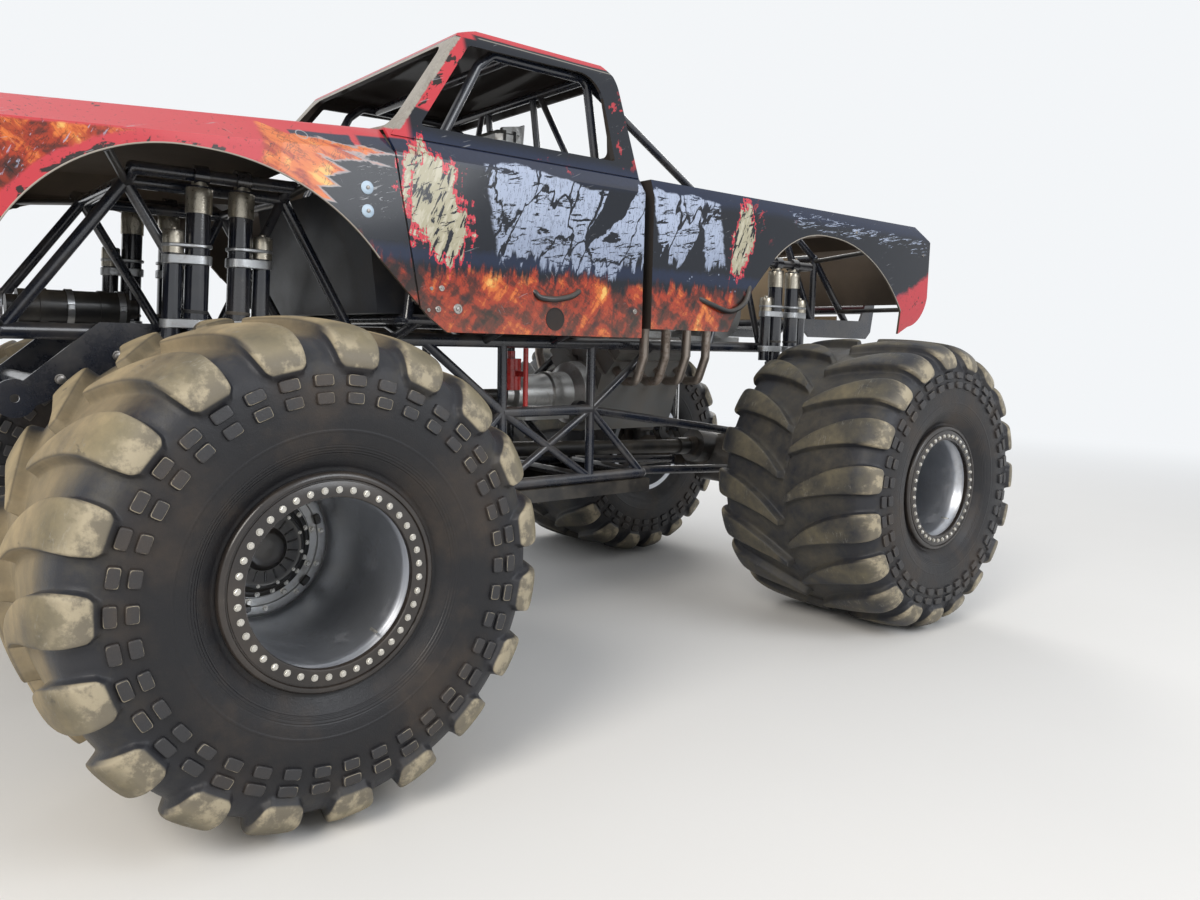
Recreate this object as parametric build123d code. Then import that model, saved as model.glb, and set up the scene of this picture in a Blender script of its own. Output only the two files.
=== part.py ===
from build123d import *
import math
import os

# Monster truck at full size, in millimetres.
# The front faces -Y, the truck's left side is +X and Z is up. The origin is on the ground
# below the middle of the vehicle.

# Axles and wheels
wheelbase = 3630.0
axle_height = 838.0
tyre_diameter = 1676.0
tyre_width = 1090.0
tyre_centre_x = 1232.0
tyre_wall = 42.0
lugs_per_side = 19
lug_height = 48.0
front_tread_turn = 6.0
rear_tread_turn = 12.8
bead_radius = 320.0
bead_spread = 470.0
rim_wall = 12.0
rim_ring_radius = 356.0
rim_ring_thickness = 26.0
rim_drop_radius = 272.0
disc_x = 1034.0
disc_thickness = 22.0
hub_radius = 178.0
hub_cap_reach = 122.0
kingpin_x = 810.0
steering_arm = 215.0
tie_rod_height = 88.0
running_gap = 5.0
seat_gap = 0.3

# Axle housing and knuckle
axle_tube_radius = 85.0
axle_bowl_radius = 178.0
axle_bowl_width = 110.0
axle_cone_x = 285.0
kingpin_barrel_radius = 66.0
kingpin_barrel_half = 112.0
kingpin_radius = 26.0
knuckle_plate = 30.0
spindle_radius = 92.0
pinion_rise = 92.0
pinion_reach = 330.0
link_x = 300.0
link_radius = 26.0
link_eye_radius = 44.0
link_eye_width = 50.0
link_pin_radius = 17.0
bracket_plate = 10.0

# Frame and cage tubes
frame_x = 400.0
rail_diameter = 63.5
brace_diameter = 50.8
cage_diameter = 44.5
cage_x = 680.0

# Shocks
shock_x = 525.0
shock_radius = 46.0
shock_rod_radius = 21.0
shock_pair = 165.0
reservoir_radius = 35.0
shock_foot_height = 1000.0

# Body shell
body_half_width = 980.0
shell_wall = 14.0
nose_y = -2956.0
cowl_y = -1240.0
cab_rear_y = 150.0
bed_front_y = 212.0
bed_tail_y = 2780.0
bed_top_z = 2433.0
body_low_z = 1643.0

# Driveline
crank_height = 1310.0
output_height = 1000.0
shaft_radius = 45.0
engine_front_y = 520.0
engine_rear_y = 1190.0

front_axle_y = -wheelbase / 2
rear_axle_y = wheelbase / 2


def bar(start, end, radius):
    # Straight round bar between two points
    first = Vector(*start)
    last = Vector(*end)
    return Solid.make_cylinder(radius, (last - first).length, Plane(first, z_dir=last - first))


def bent_bar(points, radius, bend):
    # Round bar along a path with bends at its inner points
    path = FilletPolyline(*[Vector(*p) for p in points], radius=bend)
    return sweep(Plane(path @ 0, z_dir=path % 0) * Circle(radius), path=path).solid()


def ring(centre, axis, outer, inner, width):
    # Flat ring with its middle at the centre
    plane = Plane(Vector(*centre), z_dir=Vector(*axis)).offset(-width / 2)
    return Solid.make_cylinder(outer, width, plane) - Solid.make_cylinder(inner, width, plane)


def disc(centre, axis, radius, width):
    plane = Plane(Vector(*centre), z_dir=Vector(*axis)).offset(-width / 2)
    return Solid.make_cylinder(radius, width, plane)


def block(low, high):
    # Box between two corners
    size = [h - l for l, h in zip(low, high)]
    return Solid.make_box(*size, Plane(Vector(*low)))


def join(pieces):
    whole = pieces[0]
    if len(pieces) > 1:
        whole = whole.fuse(*pieces[1:])
    return whole


def side_plate(points, x, thickness):
    # Plate seen from the side: points are (y, z), and the plate starts at x and grows outwards
    wire = Wire.make_polygon([Vector(x, y, z) for y, z in points], close=True)
    return Solid.extrude(Face(wire), Vector(thickness, 0, 0))


def front_plate(points, y, thickness):
    # Plate seen from the front: points are (x, z)
    wire = Wire.make_polygon([Vector(x, y, z) for x, z in points], close=True)
    return Solid.extrude(Face(wire), Vector(0, thickness, 0))


def turned(profile, axis=Axis.X):
    # Round piece from a profile of (along, radius) pairs about the X axis
    wire = Wire.make_polygon([Vector(a, r, 0) for a, r in profile], close=True)
    return revolve(Face(wire), axis).solid()


def other_side(shape):
    return shape.mirror(Plane.YZ)


def both_sides(shape):
    return [shape, other_side(shape)]


def solids_of(shapes):
    return [s for shape in shapes for s in shape.solids()]


def save(name, shapes):
    pieces = solids_of(shapes if isinstance(shapes, list) else [shapes])
    whole = pieces[0] if len(pieces) == 1 else Compound(pieces)
    whole.label = name
    export_step(whole, os.path.join("parts", name + ".step"))
    print(name, len(pieces))


# Heights of the frame's levels, and places of its towers along the truck
rail_z = 1610.0
belly_z = 850.0
mid_z = 1240.0
tail_z = 1780.0
tower_z = 2200.0
front_tower_front_y = -2070.0
front_tower_rear_y = -1450.0
mid_post_y = 300.0
belly_end_y = 700.0
strut_top_y = 770.0

# Side truss of the frame: named points as (y, z)
frame_points = {
    "nose": (-2510.0, rail_z),
    "tow_front": (-2020.0, rail_z),
    "front_shock_foot": (-1745.0, rail_z),
    "front_tower_front": (front_tower_front_y, tower_z),
    "front_tower_rear": (front_tower_rear_y, tower_z),
    "front_tower_foot": (-1130.0, rail_z),
    "front_strut_top": (-strut_top_y, rail_z),
    "front_mid_top": (-mid_post_y, rail_z),
    "front_mid": (-mid_post_y, mid_z),
    "front_low": (-mid_post_y, belly_z),
    "belly_front": (-belly_end_y, belly_z),
    "rear_mid_top": (mid_post_y, rail_z),
    "rear_mid": (mid_post_y, mid_z),
    "rear_low": (mid_post_y, belly_z),
    "belly_rear": (belly_end_y, belly_z),
    "rear_strut_top": (strut_top_y, rail_z),
    "rear_tower_foot": (1250.0, rail_z),
    "rear_tower_front": (1480.0, 2310.0),
    "kick_low": (1740.0, rail_z),
    "kick_high": (2000.0, tail_z),
    "rear_foot": (2280.0, tail_z),
    "rear_tower_rear": (1970.0, 2320.0),
    "rear_post_elbow": (2280.0, 2230.0),
    "rear_post_top": (2090.0, 2345.0),
    "tail": (2700.0, tail_z),
}

# Side truss members: from, to, diameter
upright_diameter = 50.8
strut_diameter = 47.6
cross_diameter = 44.5
light_diameter = 41.3
mid_diameter = 57.2
frame_members = [
    ("nose", "kick_low", rail_diameter),
    ("kick_low", "kick_high", rail_diameter - 1.0),
    ("kick_high", "tail", rail_diameter),
    ("belly_front", "belly_rear", rail_diameter),
    ("front_mid", "rear_mid", mid_diameter),
    ("front_mid_top", "front_low", upright_diameter),
    ("rear_mid_top", "rear_low", upright_diameter),
    ("front_mid", "rear_low", cross_diameter),
    ("front_low", "rear_mid", light_diameter),
    ("front_mid", "front_strut_top", strut_diameter),
    ("rear_mid", "rear_strut_top", strut_diameter),
    ("belly_front", "front_mid", strut_diameter - 1.5),
    ("belly_rear", "rear_mid", strut_diameter - 1.5),
    ("nose", "front_tower_front", strut_diameter),
    ("front_tower_front", "front_tower_rear", upright_diameter),
    ("front_tower_rear", "front_tower_foot", strut_diameter),
    ("front_shock_foot", "front_tower_front", cross_diameter),
    ("front_shock_foot", "front_tower_rear", light_diameter),
    ("rear_tower_foot", "rear_tower_front", strut_diameter),
    ("rear_tower_front", "rear_post_top", upright_diameter),
    ("kick_low", "rear_tower_front", light_diameter),
    ("rear_foot", "rear_tower_rear", strut_diameter),
    ("rear_foot", "rear_post_elbow", cross_diameter),
    ("rear_post_elbow", "rear_post_top", light_diameter),
    ("rear_post_elbow", "tail", strut_diameter),
]

# Ends where no other member closes the corner get a weld bead of this extra radius
bead_extra = 1.5
open_corners = [
    "nose", "front_tower_front", "front_tower_rear", "belly_front", "belly_rear",
    "rear_tower_front", "rear_post_top", "rear_post_elbow", "kick_low", "kick_high", "tail",
]

front_shock_bar_z = tower_z + 35.0
rear_shock_bar_z = 2150.0


def along(first, second, z):
    # Y of the line between two frame points at a height
    (y1, z1), (y2, z2) = frame_points[first], frame_points[second]
    return y1 + (y2 - y1) * (z - z1) / (z2 - z1)


rear_bar_front_y = along("rear_tower_foot", "rear_tower_front", rear_shock_bar_z)
rear_bar_rear_y = along("rear_foot", "rear_tower_rear", rear_shock_bar_z)

# Bars that leave the side truss: from (x, y, z), to (x, y, z)
cage_floor_z = 1700.0
cage_feet_y = (-930.0, -420.0, 10.0)
shock_bars = [
    ((frame_x, front_tower_front_y, tower_z), (shock_x, front_tower_front_y, front_shock_bar_z)),
    ((frame_x, front_tower_rear_y, tower_z), (shock_x, front_tower_rear_y, front_shock_bar_z)),
    ((shock_x, front_tower_front_y, front_shock_bar_z), (shock_x, front_tower_rear_y, front_shock_bar_z)),
    ((frame_x, rear_bar_front_y, rear_shock_bar_z), (shock_x, rear_bar_front_y, rear_shock_bar_z)),
    ((frame_x, rear_bar_rear_y, rear_shock_bar_z), (shock_x, rear_bar_rear_y, rear_shock_bar_z)),
    ((shock_x, rear_bar_front_y, rear_shock_bar_z), (shock_x, rear_bar_rear_y, rear_shock_bar_z)),
]
bar_corners = [
    (shock_x, front_tower_front_y, front_shock_bar_z),
    (shock_x, front_tower_rear_y, front_shock_bar_z),
    (shock_x, rear_bar_front_y, rear_shock_bar_z),
    (shock_x, rear_bar_rear_y, rear_shock_bar_z),
]


def frame_side(grow=0.0):
    # Left side of the frame; grow gives the same shape with a clearance around it
    pieces = []

    for first, second, diameter in frame_members:
        (y1, z1), (y2, z2) = frame_points[first], frame_points[second]
        pieces.append(bar((frame_x, y1, z1), (frame_x, y2, z2), diameter / 2 + grow))
    for name in open_corners:
        y, z = frame_points[name]
        big = rail_diameter if name in ("nose", "tail", "kick_low", "kick_high", "belly_front",
                                        "belly_rear") else brace_diameter
        pieces.append(Solid.make_sphere(big / 2 + bead_extra + grow, Plane(Vector(frame_x, y, z))))
    for start, end in shock_bars:
        pieces.append(bar(start, end, brace_diameter / 2 + grow))
    for corner in bar_corners:
        pieces.append(Solid.make_sphere(brace_diameter / 2 + bead_extra + grow,
                                        Plane(Vector(*corner))))
    for y in cage_feet_y:
        pieces.append(bar((frame_x, y, rail_z), (cage_x, y, cage_floor_z),
                          cage_diameter / 2 + grow))
    stub = frame_points["rear_mid"]
    pieces.append(bar((frame_x, *stub), (link_x - link_eye_width / 2 - 8, *stub),
                      brace_diameter / 2 + grow))
    return join(pieces)


# Cross tubes of the frame: (y, z), diameter
frame_cross_points = [
    ("nose", brace_diameter), ("tow_front", brace_diameter), ("front_tower_front", brace_diameter),
    ("front_tower_rear", brace_diameter), ("front_tower_foot", brace_diameter),
    ("front_strut_top", brace_diameter), ("front_mid_top", brace_diameter),
    ("front_mid", brace_diameter), ("front_low", brace_diameter), ("belly_front", brace_diameter),
    ("rear_mid_top", brace_diameter), ("rear_low", brace_diameter), ("belly_rear", brace_diameter),
    ("rear_tower_foot", brace_diameter), ("rear_tower_front", brace_diameter),
    ("kick_low", brace_diameter), ("kick_high", brace_diameter), ("rear_foot", brace_diameter),
    ("rear_tower_rear", brace_diameter), ("rear_post_elbow", brace_diameter),
    ("tail", brace_diameter),
]


def frame_cross_tubes(sides):
    tubes = []
    for name, diameter in frame_cross_points:
        y, z = frame_points[name]
        tube = bar((-frame_x, y, z), (frame_x, y, z), diameter / 2)
        middle = [s for s in (tube - sides).solids() if abs(s.center().X) < 50]
        tubes.extend(middle)
    return tubes


# Cage side: bent main hoop seen from the side as (y, z)
cage_front_y = -1000.0
cage_rear_y = 80.0
cage_roof_z = 2925.0
dash_y = -908.0
dash_z = 2330.0
door_bar_y = -960.0
door_bar_z = 1960.0
cage_bend_radius = 60.0
cage_hoop = [
    (cage_front_y, cage_floor_z), (dash_y + 8.0, dash_z + 50.0), (-640.0, 2860.0), (-560.0, cage_roof_z),
    (0.0, cage_roof_z), (cage_rear_y, dash_z + 150.0), (cage_rear_y, cage_floor_z),
]
cage_top_rear = (cage_x, cage_rear_y - 60.0, cage_roof_z - 20.0)
cage_brace_end = (frame_x, *frame_points["rear_tower_front"])
# Straight bars of the cage side: from (y, z), to (y, z)
cage_side_bars = [
    ((cage_front_y, cage_floor_z), (cage_rear_y, cage_floor_z)),
    ((dash_y, dash_z), (cage_rear_y, dash_z)),
    ((door_bar_y, door_bar_z), (cage_rear_y, dash_z)),
    ((cage_rear_y, door_bar_z), (door_bar_y, door_bar_z)),
]


def cage_side(grow=0.0):
    radius = cage_diameter / 2 + grow
    hoop = [(cage_x, y, z) for y, z in cage_hoop]
    pieces = [bent_bar(hoop, radius, cage_bend_radius)]
    for (y1, z1), (y2, z2) in cage_side_bars:
        pieces.append(bar((cage_x, y1, z1), (cage_x, y2, z2), radius))
    for y in (cage_front_y, cage_rear_y):
        pieces.append(Solid.make_sphere(radius + bead_extra, Plane(Vector(cage_x, y, cage_floor_z))))
    pieces.append(bar(cage_top_rear, cage_brace_end, radius))
    return join(pieces)


# Cross tubes of the cage: (y, z)
cage_cross_points = [(-470.0, cage_roof_z), (dash_y, dash_z), (0.0, cage_roof_z), (cage_rear_y, dash_z),
                     (cage_front_y, cage_floor_z), (cage_rear_y, cage_floor_z)]
hoop_upright_x = 220.0
hoop_diameter = 38.0


def cage_cross(sides):
    # Straight tubes between the cage sides, and the uprights and struts that end on them
    radius = cage_diameter / 2
    slim = hoop_diameter / 2
    tubes = []
    for y, z in cage_cross_points:
        tube = bar((-cage_x, y, z), (cage_x, y, z), radius) - sides
        tubes += [s for s in tube.solids() if abs(s.center().X) < 50]
    keep_off = [bar((-cage_x, y, z), (cage_x, y, z), radius + seat_gap) for y, z in cage_cross_points]
    for side in (-1, 1):
        x = side * hoop_upright_x
        for start, end, size in (
            ((x, cage_rear_y, cage_floor_z), (x, cage_rear_y, dash_z), slim),
            ((x, cage_rear_y, dash_z), (x, 0.0, cage_roof_z), slim),
            ((side * (cage_x - 60), cage_rear_y, dash_z), (side * (hoop_upright_x + 60), 0.0, cage_roof_z),
             slim - 2.0),
        ):
            tubes.append(biggest(bar(start, end, size) - keep_off))
    return tubes


def section(y, half, low, crease_z, shoulder_x, shoulder_z, crown_z):
    # Cross-section of the shell: upright sides, a crease, a shoulder and a crowned top
    edges = [
        Line((-half, y, low), (-half, y, crease_z)),
        Line((-half, y, crease_z), (-shoulder_x, y, shoulder_z)),
        ThreePointArc((-shoulder_x, y, shoulder_z), (0, y, crown_z), (shoulder_x, y, shoulder_z)),
        Line((shoulder_x, y, shoulder_z), (half, y, crease_z)),
        Line((half, y, crease_z), (half, y, low)),
        Line((half, y, low), (-half, y, low)),
    ]
    return Face(Wire(edges))


# Front clip sections: y, crease height, shoulder x, shoulder height, crown height
clip_sections = [
    (nose_y, 2235.0, 770.0, 2325.0, 2352.0),
    (nose_y + 120.0, 2252.0, 785.0, 2352.0, 2385.0),
    (cowl_y + 140.0, 2356.0, 885.0, 2462.0, 2496.0),
]
shell_bottom = 1560.0


def clip_form(inset):
    # Lofted form of the hood and fenders; inset is the wall taken off it
    faces = []
    for y, crease, shoulder_x, shoulder, crown in clip_sections:
        shift = inset if y == nose_y else 0.0
        faces.append(section(y + shift, body_half_width - inset, shell_bottom - inset,
                             crease - inset * 0.7, shoulder_x - inset * 0.5, shoulder - inset,
                             crown - inset))
    return Solid.make_loft([f.outer_wire() for f in faces], ruled=True)


def through_width(face, x_half=1200.0):
    # Solid through the whole width from a face seen from the side
    return Solid.extrude(face, Vector(2 * x_half, 0, 0)).moved(Location((-x_half, 0, 0)))


def profile_cutter(edges):
    # The same from a closed outline
    return through_width(Face(Wire(edges)))


def rounded_face(corners, at):
    # Face from a table of corners (first, second, corner radius), with at giving each one's place
    places = [at(first, second) for first, second, radius in corners]
    face = Face(Wire.make_polygon(places, close=True))
    for place, (first, second, radius) in zip(places, corners):
        nearest = min(face.vertices(), key=lambda vertex: (vertex.center() - place).length)
        face = face.fillet_2d(radius, [nearest])
    return face


def p(y, z):
    return Vector(0, y, z)


def front_arch():
    # Opening below the front fender, down past the shell
    return profile_cutter([
        Line(p(-2930, 1700), p(-2680, 1690)),
        Line(p(-2680, 1690), p(-2580, 1920)),
        ThreePointArc(p(-2580, 1920), p(-2370, 2150), p(-1960, 2260)),
        ThreePointArc(p(-1960, 2260), p(-1540, 2150), p(-1280, 1930)),
        Line(p(-1280, 1930), p(-1060, 1706)),
        Line(p(-1060, 1706), p(-970, body_low_z)),
        Line(p(-970, body_low_z), p(-970, 1400)),
        Line(p(-970, 1400), p(-3100, 1400)),
        Line(p(-3100, 1400), p(-3100, 1760)),
        Line(p(-3100, 1760), p(-2930, 1700)),
    ])


def rear_arch():
    return profile_cutter([
        Line(p(150, 1690), p(790, 1690)),
        Line(p(790, 1690), p(860, 1800)),
        Line(p(860, 1800), p(1160, 2110)),
        ThreePointArc(p(1160, 2110), p(1330, 2222), p(1660, 2280)),
        ThreePointArc(p(1660, 2280), p(2180, 2135), p(2470, 1870)),
        Line(p(2470, 1870), p(2450, 1720)),
        Line(p(2450, 1720), p(2560, 1770)),
        ThreePointArc(p(2560, 1770), p(2740, 1880), p(2780, 2080)),
        Line(p(2780, 2080), p(2900, 2080)),
        Line(p(2900, 2080), p(2900, 1400)),
        Line(p(2900, 1400), p(150, 1400)),
        Line(p(150, 1400), p(150, 1690)),
    ])


# The joint between the front clip and the cab runs down and back, seen from the side
seam_top = (cowl_y, 2520.0)
seam_foot = (-1100.0, 1743.0)
seam_gap = 8.0


def ahead_of_seam(shift):
    # Everything in front of the slanted joint, moved by shift along Y
    slope = (seam_foot[0] - seam_top[0]) / (seam_foot[1] - seam_top[1])
    low = seam_foot[0] + (1300.0 - seam_foot[1]) * slope
    high = seam_foot[0] + (2700.0 - seam_foot[1]) * slope
    return side_plate([(-3200, 1300), (low + shift, 1300), (high + shift, 2700), (-3200, 2700)],
                      -1200, 2400)


grille_half = 610.0
grille_low = 1960.0
grille_high = 2190.0
lamp_x = 770.0
lamp_z = 2095.0
lamp_radius = 92.0


def front_clip():
    shell = clip_form(0.0) - clip_form(shell_wall)
    shell = shell - front_arch()
    shell = shell & ahead_of_seam(-seam_gap / 2)
    shell = shell - block((-grille_half, nose_y - 40, grille_low), (grille_half, nose_y + 60, grille_high))
    for x in (-lamp_x, lamp_x):
        shell = shell - bar((x, nose_y - 40, lamp_z), (x, nose_y + 60, lamp_z), lamp_radius + seat_gap)
    return biggest(shell)


def biggest(shape):
    return max(shape.solids(), key=lambda s: s.volume)


cab_shoulder_x = 905.0
cab_shoulder_z = 2465.0
cab_crown_z = 2496.0
cab_crease_z = 2356.0


def cab_lower(inset):
    first = cowl_y - 10.0
    last = cab_rear_y - inset
    faces = [section(y, body_half_width - inset, body_low_z - (200.0 if inset else 0.0),
                     cab_crease_z - inset * 0.7, cab_shoulder_x - inset * 0.5, cab_shoulder_z - inset,
                     cab_crown_z - inset) for y in (first - inset, last)]
    return Solid.make_loft([f.outer_wire() for f in faces], ruled=True)


# Upper cab seen from the side and from the front
pillar_foot_y = -1205.0
header_y = -800.0
header_z = 2952.0
roof_top_z = 3043.0
roof_rear_y = 112.0
roof_rear_z = 2976.0
roof_corner_radius = 150.0
glass_foot_z = 2430.0
upper_half_low = 935.0
upper_half_high = 775.0
gutter_z = 2940.0
gutter_x = 738.0
gutter_top_z = 2990.0


def cab_upper(inset):
    low = glass_foot_z - (80.0 if inset else 0.0)
    side = [
        Line(p(pillar_foot_y + inset * 1.3, low), p(header_y + inset * 1.2, header_z - inset)),
        ThreePointArc(p(header_y + inset * 1.2, header_z - inset), p(-360, roof_top_z - inset),
                      p(roof_rear_y - inset, roof_rear_z - inset)),
        Line(p(roof_rear_y - inset, roof_rear_z - inset), p(cab_rear_y - 6 - inset, low)),
        Line(p(cab_rear_y - 6 - inset, low), p(pillar_foot_y + inset * 1.3, low)),
    ]
    outline = Face(Wire(side))
    rear_corner = max(outline.vertices(), key=lambda vertex: vertex.Y + vertex.Z)
    lengthwise = through_width(outline.fillet_2d(roof_corner_radius - inset, [rear_corner]))
    half_low = upper_half_low - inset
    half_high = upper_half_high - inset
    top_x = gutter_x - inset * 0.6
    top_z = gutter_top_z - inset
    y = -1500.0
    front = [
        Line((-half_low, y, low), (-half_high, y, gutter_z)),
        Line((-half_high, y, gutter_z), (-top_x, y, top_z)),
        ThreePointArc((-top_x, y, top_z), (0, y, roof_top_z + 4 - inset), (top_x, y, top_z)),
        Line((top_x, y, top_z), (half_high, y, gutter_z)),
        Line((half_high, y, gutter_z), (half_low, y, low)),
        Line((half_low, y, low), (-half_low, y, low)),
    ]
    crosswise = Solid.extrude(Face(Wire(front)), Vector(0, 2000, 0))
    return (lengthwise & crosswise).solid()


# Window outlines with their corner radii: the side one as (y, z, radius), the others as (x, z, radius)
side_window = [(-1066.0, 2490.0, 12.0), (-752.0, 2905.0, 30.0), (0.0, 2922.0, 125.0), (4.0, 2496.0, 15.0)]
windscreen = [(-820.0, 2505.0, 45.0), (820.0, 2505.0, 45.0), (690.0, 2915.0, 80.0), (-690.0, 2915.0, 80.0)]
rear_window = [(-715.0, 2560.0, 30.0), (715.0, 2560.0, 30.0), (715.0, 2905.0, 30.0), (-715.0, 2905.0, 30.0)]
window_front_y = -1600.0
window_rear_y = 20.0


def cab():
    outer = cab_lower(0.0).fuse(cab_upper(0.0))
    inner = cab_lower(shell_wall).fuse(cab_upper(shell_wall))
    shell = outer - inner
    shell = shell - ahead_of_seam(seam_gap / 2)
    shell = shell - front_arch()
    shell = shell - through_width(rounded_face(side_window, p))
    for outline, y, depth in ((windscreen, window_front_y, 1000.0), (rear_window, window_rear_y, 300.0)):
        hole = rounded_face(outline, lambda x, z: Vector(x, y, z))
        shell = shell - Solid.extrude(hole, Vector(0, depth, 0))
    return biggest(shell)


bed_rail_width = 92.0
bed_crease_z = 2350.0
bed_edge_x = 950.0
tail_top_y = 2630.0
tail_top_z = 2340.0


def bed():
    def form(inset, low):
        faces = []
        for y in (bed_front_y + inset, bed_tail_y - inset):
            faces.append(Face(Wire.make_polygon([
                Vector(-body_half_width + inset, y, low),
                Vector(-body_half_width + inset, y, bed_crease_z),
                Vector(-bed_edge_x + inset, y, bed_top_z - inset),
                Vector(bed_edge_x - inset, y, bed_top_z - inset),
                Vector(body_half_width - inset, y, bed_crease_z),
                Vector(body_half_width - inset, y, low),
            ], close=True)))
        return Solid.make_loft([f.outer_wire() for f in faces], ruled=True)

    def tail_slope(inset):
        return side_plate([(tail_top_y - inset, bed_top_z + 60), (tail_top_y - inset, bed_top_z - inset),
                           (bed_tail_y + 0.1, tail_top_z - inset), (bed_tail_y + 200, tail_top_z - inset),
                           (bed_tail_y + 200, bed_top_z + 60)], -1200, 2400)

    outer = form(0.0, 1600.0) - tail_slope(0.0)
    inner = form(shell_wall, 1500.0) - tail_slope(shell_wall)
    shell = outer - inner
    inside = bed_edge_x - bed_rail_width
    shell = shell - block((-inside, bed_front_y + bed_rail_width, bed_top_z - 60),
                          (inside, tail_top_y - 30, bed_top_z + 60))
    shell = shell - rear_arch()
    return biggest(shell)


def grille():
    # Frame with slim bars across and three uprights
    depth = 34.0
    y = nose_y + 4
    half = grille_half - seat_gap
    low = grille_low + seat_gap
    high = grille_high - seat_gap
    edge = 22.0
    pieces = [
        block((-half, y, low), (half, y + depth, high))
        - block((-half + edge, y - 1, low + edge), (half - edge, y + depth + 1, high - edge))
    ]
    bars = 5
    step = (high - low - 2 * edge) / (bars + 1)
    for i in range(bars):
        z = low + edge + step * (i + 1)
        pieces.append(block((-half + edge / 2, y + 8, z - 5), (half - edge / 2, y + depth - 6, z + 5)))
    for x in (-half / 2, 0.0, half / 2):
        pieces.append(block((x - 7, y + 5, low + edge / 2), (x + 7, y + depth - 3, high - edge / 2)))
    return join(pieces)


def headlamps():
    lamps = []
    for x in (-lamp_x, lamp_x):
        bezel = turned([(-14, 62), (-14, lamp_radius + 10), (0, lamp_radius + 14), (0, lamp_radius),
                        (46, lamp_radius), (46, 0), (20, 0), (14, 56)])
        lamp = bezel.rotate(Axis.Z, 90).moved(Location((x, nose_y, lamp_z)))
        lamps.append(lamp)
    return lamps


# Sheet panels of the cab floor
floor_y = (-1120.0, 50.0)
floor_half = 640.0
sheet = 4.0
toe_rise = 560.0
toe_lean = 60.0
tunnel_half = 110.0
tunnel_rise = 70.0


def floor_panels():
    base = cage_floor_z + cage_diameter / 2 + seat_gap
    floor = block((-floor_half, floor_y[0] - sheet / 2, base), (floor_half, floor_y[1], base + sheet))
    toe_top_y = floor_y[0] - toe_lean
    toe = side_plate([(floor_y[0], base), (floor_y[0] - sheet, base), (toe_top_y - sheet, base + toe_rise),
                      (toe_top_y, base + toe_rise)], -floor_half, 2 * floor_half)
    sides = []
    for x in (-floor_half, floor_half - sheet):
        sides.append(side_plate([(floor_y[0] - sheet / 2, base), (toe_top_y - sheet / 2, base + toe_rise),
                                 (floor_y[0] + 130, base + toe_rise), (floor_y[0] + 130, base)], x, sheet))
    tunnel = block((-tunnel_half, floor_y[0] + 2, base), (tunnel_half, floor_y[1], base + tunnel_rise))
    tunnel = tunnel - block((-tunnel_half + sheet, floor_y[0] - 10, base - 5),
                            (tunnel_half - sheet, floor_y[1] + 5, base + tunnel_rise - sheet))
    return join([floor, toe, *sides, tunnel])


seat_half = 235.0


def seat():
    # Formed sheet seat: back, pan and side wings, with a head restraint
    back = side_plate([(-110, 1935), (-30, 2560), (-22, 2560), (-102, 1935)], -seat_half, 2 * seat_half)
    pan = side_plate([(-520, 1985), (-110, 1935), (-102, 1943), (-520, 1993)], -seat_half, 2 * seat_half)
    pieces = [back, pan]
    wing = [(-535, 1974), (-545, 2080), (-330, 2120), (-200, 2380), (-150, 2540), (-14, 2572), (-88, 1920)]
    for x in (-seat_half, seat_half - 6):
        pieces.append(side_plate(wing, x, 6))
    head = side_plate([(-30, 2540), (-8, 2790), (0, 2790), (-22, 2540)], -150, 300)
    pieces.append(head)
    for x in (-150, 144):
        pieces.append(side_plate([(-26, 2580), (-160, 2600), (-140, 2760), (-6, 2784)], x, 6))
    base = cage_floor_z + cage_diameter / 2 + 2 * seat_gap + sheet
    for x in (-200.0, 170.0):
        pieces.append(side_plate([(-500, 1986), (-480, base), (-120, base), (-114, 1938)], x, 30))
    return join(pieces)


def steering_wheel():
    centre = Vector(0, -600, 2360)
    tilt = Plane(centre, z_dir=Vector(0, 0.86, 0.5))
    rim = Solid.make_torus(165, 14, tilt)
    hub = Solid.make_cylinder(38, 26, tilt.offset(-13))
    spokes = []
    for turn in (0, 120, 240):
        end = tilt.rotated((0, 0, turn))
        spokes.append(Solid.make_box(160, 26, 6, Plane((end * Pos(0, -13, -3)).position, x_dir=end.x_dir,
                                                       z_dir=end.z_dir)))
    column_end = (0, dash_y + cage_diameter / 2 + 8, dash_z - 149)
    column = bar(tuple(centre), column_end, 22)
    hanger = bar((0, dash_y + 40, dash_z - 126), (0, dash_y + 8, dash_z - cage_diameter / 2 + 4), 14)
    dash_bar = bar((-400, dash_y, dash_z), (400, dash_y, dash_z), cage_diameter / 2 + seat_gap)
    return biggest(join([rim, hub, *spokes, column, hanger]) - dash_bar)


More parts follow.
